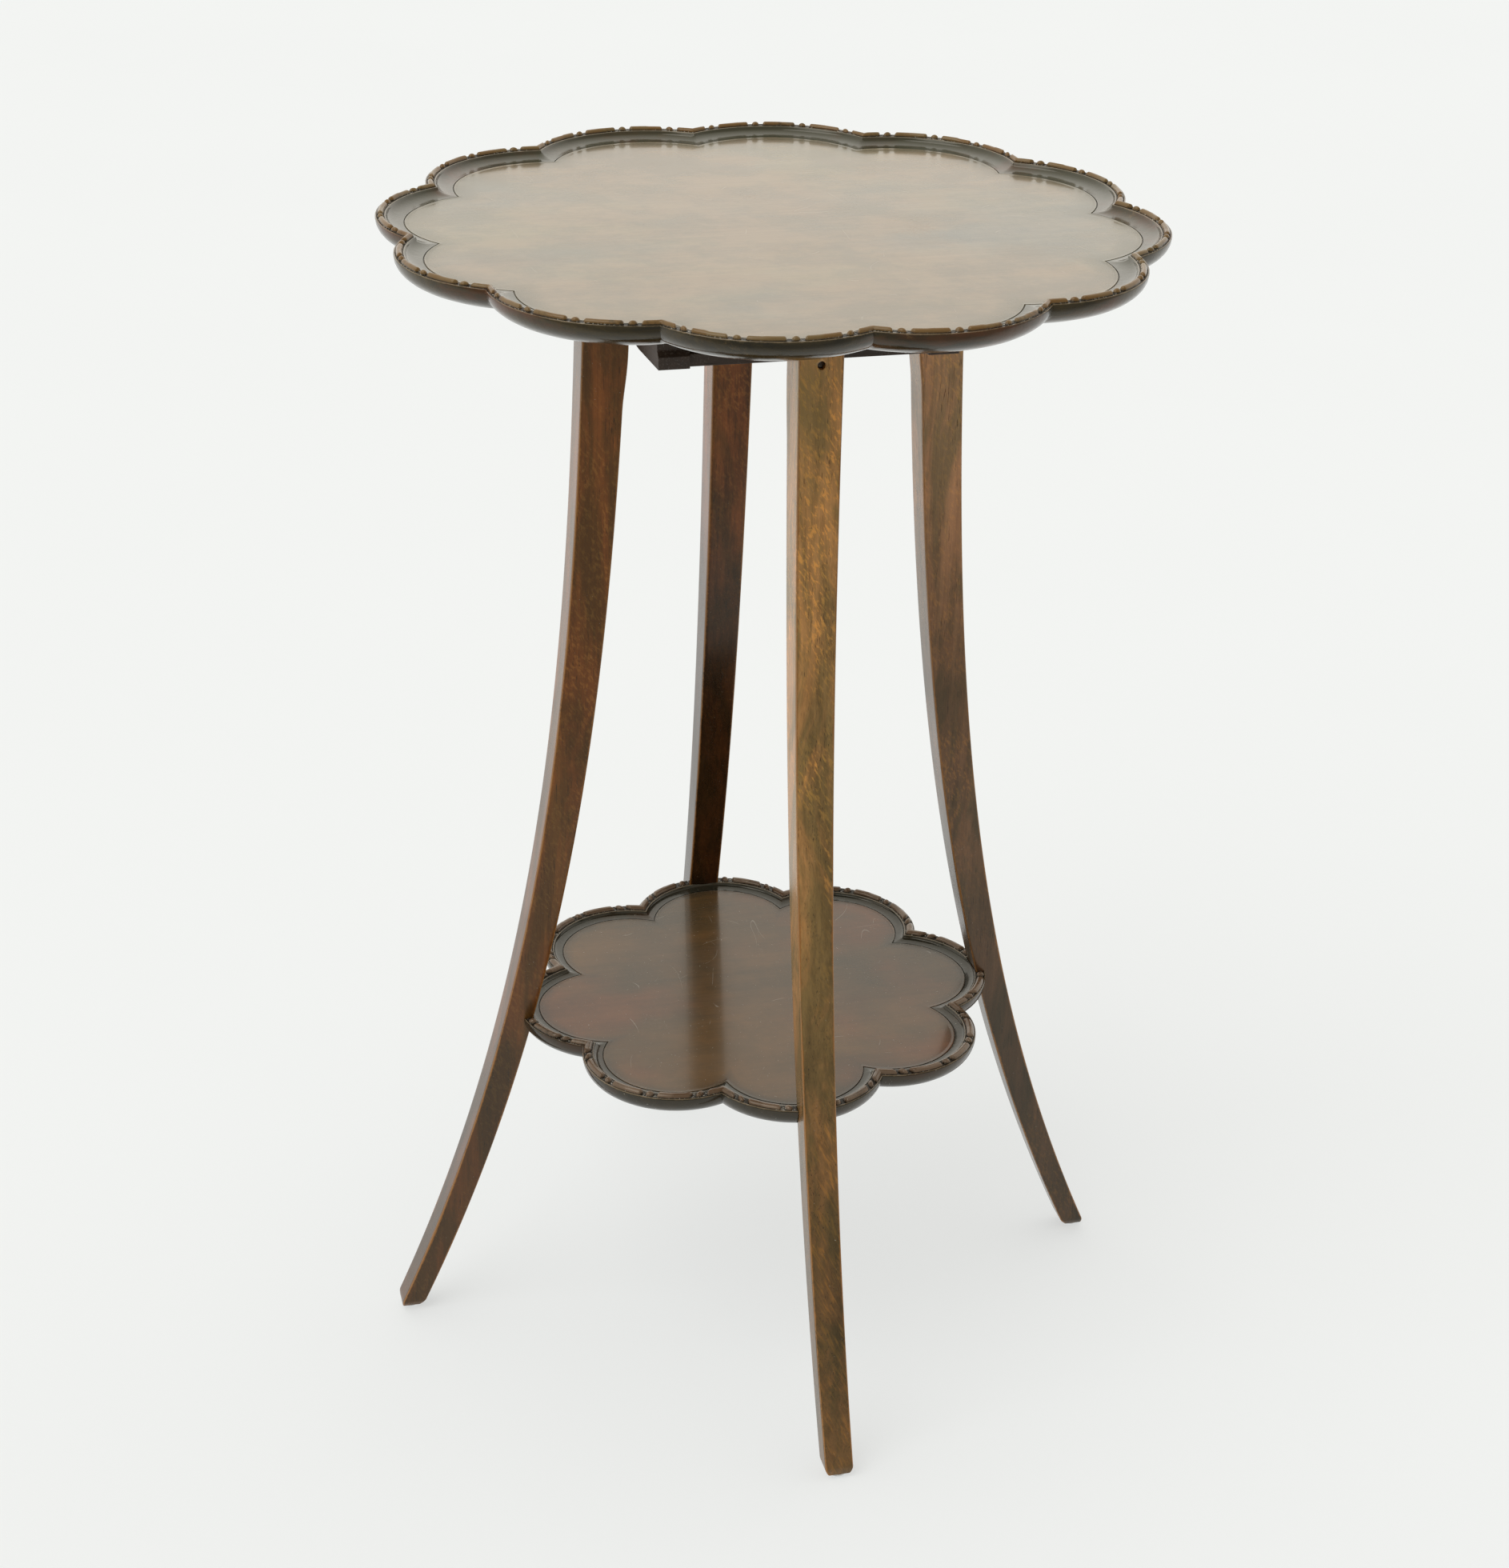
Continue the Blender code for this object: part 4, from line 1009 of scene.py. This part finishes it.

# %% [markdown]
# ## The boards' finish
#
# The top and the shelf share one recipe with different strengths. The top's flat field is painted a
# pale greyish tan, partly faded wood and partly painted reflection of the bright room, the shelf's less
# so, while both mouldings have kept their dark polish. Beside the rim the field is painted darker,
# partly dirt and partly painted shade. The bars' tops are rubbed brown, and their ends and the hollows
# between are near black. The undersides were never polished.

# %% Finish for the top and the shelf
# The pale fillet colour is partly bare worn wood and partly a painted highlight along the fillets.
WORN_FILLET_AND_HIGHLIGHT = (0.34, 0.26, 0.17, 1.0)
RAW_UNDERSIDE = (0.050, 0.030, 0.020, 1.0)
LEAST_COAT = 0.30             # the coat that even the bare mouldings keep


def board_finish(name, field_tones, rim_tones, haze_and_reflection_tones, crest_tones, crest_wear, shine, shift, spots):
    """Field, moulding, worn crest, grime and dust, laid over one another in that order. field_tones are
    the wood (light, dark), rim_tones (light, dark, russet, greyed cove), then the tones of the haze on
    the field, partly fading and partly painted reflection of the bright room (one cloud, the other,
    blush, and a darker tone beside the rim, partly dirt and partly painted shade), and crest_tones two
    rubbed browns. shine is (least roughness, coat on the field, coat in the cove) and spots is (specks,
    scratches)."""
    made, tree, shader = start_finish(name)
    place, along = grain_place(tree, ALONG_X, shift)
    smudge = noise(tree, place, (30.0, 30.0, 30.0), 4.0, 0.6)
    field = between(tree, 0.3, 0.9, stored(tree, "field"))
    under = between(tree, 0.5, 1.0, stored(tree, "under"))
    near = stored(tree, "near_rim")
    cove = stored(tree, "cove")
    light, dark = field_tones
    flat = use(tree, grain_group, Place=along, Light=light, Dark=dark, Figure=0.12, Pores=0.30)
    light, dark, russet_tone, cove_tone = rim_tones
    rim = use(tree, grain_group, Place=along, Light=light, Dark=dark, Figure=0.10, Pores=0.5)
    # The haze is partly fading and partly painted reflection of the bright room: a greyer cloud, a blush
    # and a tan.
    cloud = between(tree, 0.36, 0.64, noise(tree, place, (4.0, 7.0, 4.0), 4.0, 0.55))
    blush = between(tree, 0.42, 0.58, noise(tree, along, (5.0, 7.0, 5.0), 4.0, 0.6))
    haze_with_reflection = blend(tree, cloud, haze_and_reflection_tones[0], haze_and_reflection_tones[1])
    haze_with_reflection = blend(tree, times(tree, blush, 0.8), haze_with_reflection, haze_and_reflection_tones[2])
    faded_and_reflected = blend(tree, 0.62, flat["Colour"], haze_with_reflection)
    blotch = between(tree, 0.35, 0.65, noise(tree, place, (22.0, 26.0, 22.0), 5.0, 0.7))
    mottle = blend(tree, blotch, (0.80, 0.84, 0.84, 1.0), (1.10, 1.05, 0.98, 1.0))
    faded_and_reflected = blend(tree, 1.0, faded_and_reflected, mottle, "MULTIPLY")
    # Painted shade beside the rim, together with dirt: the field is darkened towards the quirk.
    kept = times(tree, near, between(tree, 0.20, 0.70, smudge))
    faded_and_reflected = blend(tree, times(tree, kept, 0.95), faded_and_reflected, haze_and_reflection_tones[3])
    russet = between(tree, 0.50, 0.66, noise(tree, along, (11.0, 16.0, 40.0), 4.0, 0.65))
    moulding = blend(tree, russet, rim["Colour"], russet_tone)
    greyed = times(tree, cove, between(tree, 0.25, 0.60, smudge))
    moulding = blend(tree, greyed, moulding, cove_tone)
    colour = blend(tree, field, moulding, faded_and_reflected)
    crest = stored(tree, "crest_top")
    high = between(tree, -0.25, 0.45, crest)
    worn_crest = use(tree, wear_group, Place=place, Edge=high, Amount=crest_wear)
    # The fillets' pale line: partly wear and partly a painted highlight.
    fillet_wear_and_highlight = use(tree, wear_group, Place=place, Edge=stored(tree, "edge"), Amount=0.45)
    tone = blend(tree, stored(tree, "own"), crest_tones[0], crest_tones[1])
    colour = blend(tree, worn_crest["Wear"], colour, tone)
    colour = blend(tree, fillet_wear_and_highlight["Wear"], colour, WORN_FILLET_AND_HIGHLIGHT)
    dirt = use(tree, dust_group, Place=place, Hidden=stored(tree, "hidden"), Amount=0.9, Spread=spots[0])
    colour = blend(tree, dirt["Grime"], colour, GRIME_COLOUR)
    scratch = use(tree, scratch_group, Place=place, Amount=spots[1])
    marks = sums(tree, "MAXIMUM", dirt["Dust"], times(tree, scratch["Scratch"], field))
    colour = blend(tree, marks, colour, DUST_COLOUR)
    colour = blend(tree, times(tree, under, 0.8), colour, RAW_UNDERSIDE)
    smear = noise(tree, place, (18.0, 30.0, 18.0), 4.0, 0.6)
    rough = plus(tree, shine[0], times(tree, smear, 0.16))
    rough = plus(tree, rough, times(tree, field, 0.06))
    rough = plus(tree, rough, times(tree, dirt["Grime"], 0.30))
    rough = plus(tree, rough, times(tree, marks, 0.35), clamp=True)
    polish = plus(tree, times(tree, field, shine[1]), times(tree, cove, shine[2]))
    polish = times(tree, sums(tree, "MAXIMUM", polish, LEAST_COAT), minus(tree, 1.0, under))
    polish = times(tree, polish, minus(tree, 1.0, dirt["Grime"]), clamp=True)
    ripple = noise(tree, place, (170.0, 170.0, 170.0), 3.0, 0.6)
    height = times(tree, flat["Height"], 0.5)
    height = plus(tree, height, times(tree, dirt["Dust"], 1.2))
    carved = times(tree, minus(tree, 1.0, field), times(tree, ripple, 5.0))
    relief = bump(tree, plus(tree, height, carved), 0.06 * MM, 0.6)
    wire(tree, shader.inputs, Base_Color=colour, Roughness=rough, Coat_Weight=polish, Normal=relief)
    wire(tree, shader.inputs, Specular_IOR_Level=0.32, Specular_Tint=WARM_SHINE)
    wire(tree, shader.inputs, Coat_IOR=1.55, Coat_Roughness=0.10)
    return made


# On the top, the field's pale tans and grey cloud are partly fading and partly painted reflection of the
# room, and the last haze tone is the darker band by the rim, partly dirt and partly painted shade.
top_finish = board_finish(
    "mahogany_top",
    field_tones=((0.260, 0.212, 0.137, 1.0), (0.180, 0.147, 0.096, 1.0)),
    rim_tones=(
        (0.062, 0.042, 0.013, 1.0),
        (0.015, 0.013, 0.007, 1.0),
        (0.082, 0.029, 0.009, 1.0),
        (0.040, 0.041, 0.022, 1.0),
    ),
    haze_and_reflection_tones=(
        (0.262, 0.224, 0.132, 1.0),
        (0.180, 0.190, 0.175, 1.0),
        (0.280, 0.200, 0.128, 1.0),
        (0.085, 0.075, 0.036, 1.0),
    ),
    crest_tones=((0.190, 0.098, 0.026, 1.0), (0.200, 0.130, 0.050, 1.0)),
    crest_wear=0.84,
    shine=(0.10, 0.62, 0.62),
    shift=(0.0, 0.0, 0.0),
    spots=(0.06, 0.15),
)
shelf_finish = board_finish(
    "mahogany_shelf",
    field_tones=((0.128, 0.062, 0.024, 1.0), (0.058, 0.031, 0.013, 1.0)),
    rim_tones=(
        (0.034, 0.026, 0.015, 1.0),
        (0.012, 0.011, 0.007, 1.0),
        (0.040, 0.018, 0.008, 1.0),
        (0.020, 0.022, 0.016, 1.0),
    ),
    haze_and_reflection_tones=(
        (0.145, 0.080, 0.028, 1.0),
        (0.050, 0.044, 0.028, 1.0),
        (0.170, 0.054, 0.020, 1.0),
        (0.028, 0.027, 0.020, 1.0),
    ),
    crest_tones=((0.105, 0.058, 0.030, 1.0), (0.190, 0.130, 0.090, 1.0)),
    crest_wear=0.85,
    shine=(0.09, 0.46, 0.42),
    shift=(0.31, 0.17, 0.05),
    spots=(0.80, 0.24),
)
paint(carved_top, top_finish)
paint(carved_shelf, shelf_finish)
print("boards finished:", top_finish.name, shelf_finish.name)

# %% [markdown]
# ## The legs' finish
#
# Four boards were used for the legs and they have aged apart. The front leg has a golden, rippled
# figure, the back leg is the reddest and darkest, partly by painted shade, and the other two lie between.
# Each leg is also painted darker low down and lighter towards its top, which is painted shade and
# painted light. All are rubbed to orange along their arrises, with a thin pale line where the very
# edge is bare.

# %% Finish for the legs
FLECK_TURN = (0.35, math.radians(24), 0.2)
GOLD_FLECK = (0.40, 0.235, 0.070, 1.0)
RUBBED_ORANGE = (0.29, 0.115, 0.022, 1.0)
BARE_ARRIS = (0.46, 0.34, 0.20, 1.0)


def leg_finish(side, light, dark, fleck, amount, height_light_and_shade, shift):
    """Grain down the leg, slanting flecks, slow patches of olive and red, painted shade low down and
    painted light high up, then orange wear along the arrises and a pale line on the very edge. fleck and
    amount are how much there is of the flecks and of the wear, and the three height gains are painted
    light and shade: the colour's strength low, half-way and high up."""
    made, tree, shader = start_finish("mahogany_leg_" + side)
    place, along = grain_place(tree, ALONG_Z, shift)
    wood = use(tree, grain_group, Place=along, Light=light, Dark=dark, Figure=0.10, Pores=0.75)
    slanted = put(tree, "ShaderNodeMapping", {}, Vector=place, Rotation=FLECK_TURN).outputs["Vector"]
    dashes = between(tree, 0.48, 0.66, noise(tree, slanted, (620.0, 620.0, 75.0), 3.0, 0.6, 0.4))
    where = between(tree, 0.35, 0.62, noise(tree, place, (16.0, 16.0, 8.0), 3.0, 0.5, 0.8))
    share = times(tree, times(tree, dashes, where), fleck)
    colour = blend(tree, share, wood["Colour"], GOLD_FLECK)
    patch = between(tree, 0.38, 0.62, noise(tree, along, (7.0, 30.0, 30.0), 5.0, 0.65, 1.4))
    tint = blend(tree, patch, (0.66, 0.64, 0.50, 1.0), (1.30, 1.00, 0.78, 1.0))
    colour = blend(tree, 1.0, colour, tint, "MULTIPLY")
    # Painted light and shade: the colour is darkened low on the leg and lightened towards its top.
    height_up = put(tree, "ShaderNodeSeparateXYZ", {}, Vector=place).outputs["Z"]
    low, middle, high = [(tone, tone, tone, 1.0) for tone in height_light_and_shade]
    painted_light_gain = blend(tree, between(tree, 0.10, 0.38, height_up), low, middle)
    painted_light_gain = blend(tree, between(tree, 0.40, 0.64, height_up), painted_light_gain, high)
    colour = blend(tree, 1.0, colour, painted_light_gain, "MULTIPLY")
    edge = stored(tree, "edge")
    rubbed = use(tree, wear_group, Place=place, Edge=between(tree, 0.20, 1.05, edge), Amount=amount)
    colour = blend(tree, rubbed["Wear"], colour, RUBBED_ORANGE)
    bare = times(tree, between(tree, 0.90, 1.0, edge), rubbed["Wear"])
    colour = blend(tree, times(tree, bare, 0.55), colour, BARE_ARRIS)
    dirt = use(tree, dust_group, Place=place, Hidden=0.0, Amount=0.0, Spread=0.35)
    colour = blend(tree, dirt["Dust"], colour, DUST_COLOUR)
    smear = noise(tree, place, (24.0, 24.0, 9.0), 4.0, 0.6)
    rough = plus(tree, 0.14, times(tree, smear, 0.26))
    rough = plus(tree, rough, times(tree, rubbed["Wear"], 0.12), clamp=True)
    height = minus(tree, wood["Height"], times(tree, rubbed["Wear"], 0.3))
    relief = bump(tree, height, 0.08 * MM, 0.6)
    wire(tree, shader.inputs, Base_Color=colour, Roughness=rough, Normal=relief)
    wire(tree, shader.inputs, Specular_IOR_Level=0.42, Specular_Tint=WARM_SHINE)
    wire(tree, shader.inputs, Coat_Weight=0.22, Coat_Roughness=0.13)
    return made


# Each leg's three height gains are painted light and shade, under one low down and over one high up.
leg_looks = {
    "front": {
        "light": (0.26, 0.170, 0.076, 1),
        "dark": (0.115, 0.074, 0.030, 1),
        "fleck": 0.85,
        "amount": 0.95,
        "height_light_and_shade": (0.50, 1.70, 2.1),
        "shift": (0.11, 0.40, 0.23),
    },
    "right": {
        "light": (0.155, 0.105, 0.069, 1),
        "dark": (0.084, 0.055, 0.037, 1),
        "fleck": 0.30,
        "amount": 0.75,
        "height_light_and_shade": (0.42, 1.10, 3.6),
        "shift": (0.37, 0.12, 0.71),
    },
    "back": {
        "light": (0.16, 0.066, 0.022, 1),
        "dark": (0.042, 0.018, 0.008, 1),
        "fleck": 0.12,
        "amount": 0.70,
        "height_light_and_shade": (0.40, 0.45, 2.6),
        "shift": (0.83, 0.51, 0.33),
    },
    "left": {
        "light": (0.16, 0.070, 0.020, 1),
        "dark": (0.088, 0.038, 0.012, 1),
        "fleck": 0.20,
        "amount": 0.85,
        "height_light_and_shade": (0.60, 1.35, 1.8),
        "shift": (0.59, 0.87, 0.13),
    },
}
for side, look in leg_looks.items():
    paint(legs[side], leg_finish(side, **look))
print("legs finished:", sorted(leg_looks))

# %% [markdown]
# ## The frame's finish
#
# The rails, lugs and pad hardly show under the top, so they were stained and given one thin coat.
# They are duller and greyer than the legs, with the grain along their own length.

# %% Finish for the joinery and the dowels


def joinery_finish(name, turn, shift, light, dark, gloss):
    """Plain wood with open grain and a little dust. gloss is its least roughness."""
    made, tree, shader = start_finish(name)
    place, along = grain_place(tree, turn, shift)
    wood = use(tree, grain_group, Place=along, Light=light, Dark=dark, Figure=0.05, Pores=1.0)
    dirt = use(tree, dust_group, Place=place, Hidden=0.25, Amount=0.5, Spread=0.4)
    colour = blend(tree, dirt["Grime"], wood["Colour"], GRIME_COLOUR)
    colour = blend(tree, dirt["Dust"], colour, DUST_COLOUR)
    rough = plus(tree, gloss, times(tree, wood["Streak"], 0.25), clamp=True)
    relief = bump(tree, wood["Height"], 0.10 * MM, 0.7)
    wire(tree, shader.inputs, Base_Color=colour, Roughness=rough, Normal=relief)
    return made


STAINED = ((0.100, 0.066, 0.046, 1), (0.045, 0.030, 0.022, 1))
BIRCH = ((0.55, 0.42, 0.27, 1), (0.42, 0.30, 0.18, 1))
runs_x = joinery_finish("stained_cross_rail", ALONG_X, (0.2, 0.6, 0.1), *STAINED, 0.36)
runs_y = joinery_finish("stained_side_rail", ALONG_Y, (0.5, 0.3, 0.8), *STAINED, 0.36)
birch = joinery_finish("birch_dowel", ALONG_X, (0.7, 0.1, 0.4), *BIRCH, 0.5)
for node, piece in eased_pieces.items():
    lengthways = node.startswith("side_rail") or node == "catch_pad"
    paint(piece, runs_y if lengthways else runs_x)
print("joinery finished:", len(eased_pieces))

# %% [markdown]
# ## Brass and steel
#
# The catch is old brass: yellow where a finger slides it and brown in the corners. The screws and
# pins are dull grey steel with a trace of rust, and the glides are bright plate, scuffed by floors.
# All three are one recipe, a metal whose colour and roughness drift between two states.

# %% Finish for the metals


def metal_finish(name, clean, tarnish, clean_rough, tarnish_rough, share):
    """Metal that drifts from clean to tarnished by a soft noise, with fine brushing in its bump. share
    is where the noise turns: the higher, the less is tarnished."""
    made, tree, shader = start_finish(name)
    place = tree.nodes.new("ShaderNodeTexCoord").outputs["Object"]
    drift = noise(tree, place, (240.0, 240.0, 240.0), 4.0, 0.65)
    old = between(tree, share - 0.12, share + 0.12, drift)
    colour = blend(tree, old, clean, tarnish)
    rough = plus(tree, clean_rough, times(tree, old, tarnish_rough - clean_rough))
    brushed = bump(tree, noise(tree, place, (300.0, 2600.0, 2600.0), 2.0), 0.02 * MM, 0.5)
    wire(tree, shader.inputs, Base_Color=colour, Roughness=rough, Normal=brushed, Metallic=1.0)
    return made


brass = metal_finish("aged_brass", (0.64, 0.45, 0.19, 1), (0.28, 0.17, 0.07, 1), 0.26, 0.50, 0.52)
steel = metal_finish("dull_steel", (0.20, 0.18, 0.16, 1), (0.07, 0.045, 0.03, 1), 0.38, 0.65, 0.46)
plate = metal_finish("glide_plate", (0.66, 0.65, 0.63, 1), (0.40, 0.38, 0.35, 1), 0.16, 0.40, 0.56)
slot_finishes = {"dowel_wood": birch, "brass": brass, "steel": steel, "glide_metal": plate}
kept = [part for part in frame["record"]["subparts"] if part["material_slot"] in slot_finishes]
for part in kept:
    paint(frame["nodes"][part["node"]], slot_finishes[part["material_slot"]])
for piece in bpy.context.scene.objects:
    for start, finish in (("head_leg_screw", steel), ("floor_glide", plate)):
        if piece.name.startswith(start):
            paint(piece, finish)
print("frame pieces painted:", len(kept))

# %% [markdown]
# ## Floor, light and camera
#
# The table stands on a plain pale floor in a bright room. A wide lamp high on the left gives the soft
# shadows that lean to the right, and the white surroundings do the rest: they are what turns the
# polished field pale when it is seen at a low angle. The room is dimmer on the camera's side, so the
# faces turned to the camera keep their depth of colour.

# %% Floor
FLOOR_RADIUS = 30.0
FLOOR_DROP = 0.05 * MM        # a hair under the glides
FLOOR_GLOW = (0.520, 0.530, 0.530, 1.0)
BLACK = (0.0, 0.0, 0.0, 1.0)


def make_floor():
    """A round floor, a disc of one face. It glows a little, as a lit paper sweep does, so that the
    shadows on it stay faint. What it sends to the table falls to two fifths in front of it, so that
    the polished fronts of the legs mirror a dim floor and keep their depth."""
    turn = np.linspace(0, 2 * math.pi, 96, endpoint=False)
    level = np.full(len(turn), -FLOOR_DROP)
    ring = np.stack([FLOOR_RADIUS * np.cos(turn), FLOOR_RADIUS * np.sin(turn), level], 1)
    mesh = bpy.data.meshes.new("floor")
    mesh.from_pydata(ring.tolist(), [], [list(range(len(ring)))])
    floor = placed("floor", mesh)
    made, tree, shader = start_finish("pale_floor")
    place = tree.nodes.new("ShaderNodeTexCoord").outputs["Object"]
    cloud = noise(tree, place, (1.5, 1.5, 1.5), 4.0, 0.6)
    colour = blend(tree, cloud, (0.345, 0.360, 0.370, 1.0), (0.360, 0.375, 0.385, 1.0))
    ahead = between(tree, -1.0, -0.35, put(tree, "ShaderNodeSeparateXYZ", {}, Vector=place).outputs["Y"])
    seen = tree.nodes.new("ShaderNodeLightPath").outputs["Is Camera Ray"]
    lit = sums(tree, "MAXIMUM", seen, sums(tree, "MULTIPLY_ADD", ahead, 0.60, 0.40))
    colour, glow = blend(tree, lit, BLACK, colour), blend(tree, lit, BLACK, FLOOR_GLOW)
    wire(tree, shader.inputs, Base_Color=colour, Emission_Color=glow, Emission_Strength=1.0)
    wire(tree, shader.inputs, Roughness=0.6, Specular_IOR_Level=0.0)
    mesh.materials.append(made)
    floor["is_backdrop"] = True


make_floor()
print("floor laid")

# %% Light
SUN_HEIGHT, SUN_SIDE = math.radians(52), math.radians(-62)
SUN_SPREAD = math.radians(46)


def make_sun():
    """One very soft lamp from high on the left and a little in front, even over the whole floor."""
    data = bpy.data.lights.new("soft_key", "SUN")
    data.energy = 0.85
    data.angle = SUN_SPREAD
    data.color = (1.0, 0.99, 0.965)
    lamp = placed("soft_key", data)
    flat = math.cos(SUN_HEIGHT)
    way = Vector((math.sin(SUN_SIDE) * flat, -math.cos(SUN_SIDE) * flat, math.sin(SUN_HEIGHT)))
    lamp.rotation_euler = (-way).to_track_quat("-Z", "Y").to_euler()
    lamp.location = way * 3


def make_room():
    """The room's own light: white behind, above and beside, dimmer towards -Y. What the camera sees of
    it directly is plain white."""
    world = bpy.data.worlds.new("room")
    bpy.context.scene.world = world
    world.use_nodes = True
    tree = world.node_tree
    sky = tree.nodes["Background"]
    way = tree.nodes.new("ShaderNodeTexCoord").outputs["Generated"]
    parts = put(tree, "ShaderNodeSeparateXYZ", {}, Vector=way)
    ahead = between(tree, -0.55, 0.25, parts.outputs["Y"])
    light = blend(tree, ahead, (0.50, 0.465, 0.40, 1.0), (1.10, 1.06, 0.98, 1.0))
    seen = tree.nodes.new("ShaderNodeLightPath").outputs["Is Camera Ray"]
    wire(tree, sky.inputs, Color=blend(tree, seen, light, (0.885, 0.90, 0.895, 1.0)), Strength=1.0)


make_sun()
make_room()
scene = bpy.context.scene
scene.view_settings.view_transform = "Standard"

# %% Camera
CAMERA_PLACE = (-0.4300, -1.6629, 1.1916)
CAMERA_TURN = (64.106, -1.207, -13.805)   # degrees
LENS = 70.14                              # on a 36 mm frame


def make_camera():
    """A camera a little to the left of the front, looking down, leaning by about a degree."""
    data = bpy.data.cameras.new("camera")
    data.lens = LENS
    data.sensor_width = 36.0
    camera = placed("camera", data)
    camera.location = CAMERA_PLACE
    camera.rotation_euler = [math.radians(a) for a in CAMERA_TURN]
    bpy.context.scene.camera = camera


make_camera()
print("camera at", CAMERA_PLACE)

# %% [markdown]
# ## The size of the table
#
# The whole object's box is printed as it is now.

# %% Print the size
low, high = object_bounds()
print("size now", [round(v * 1000, 1) for v in high - low], "mm")
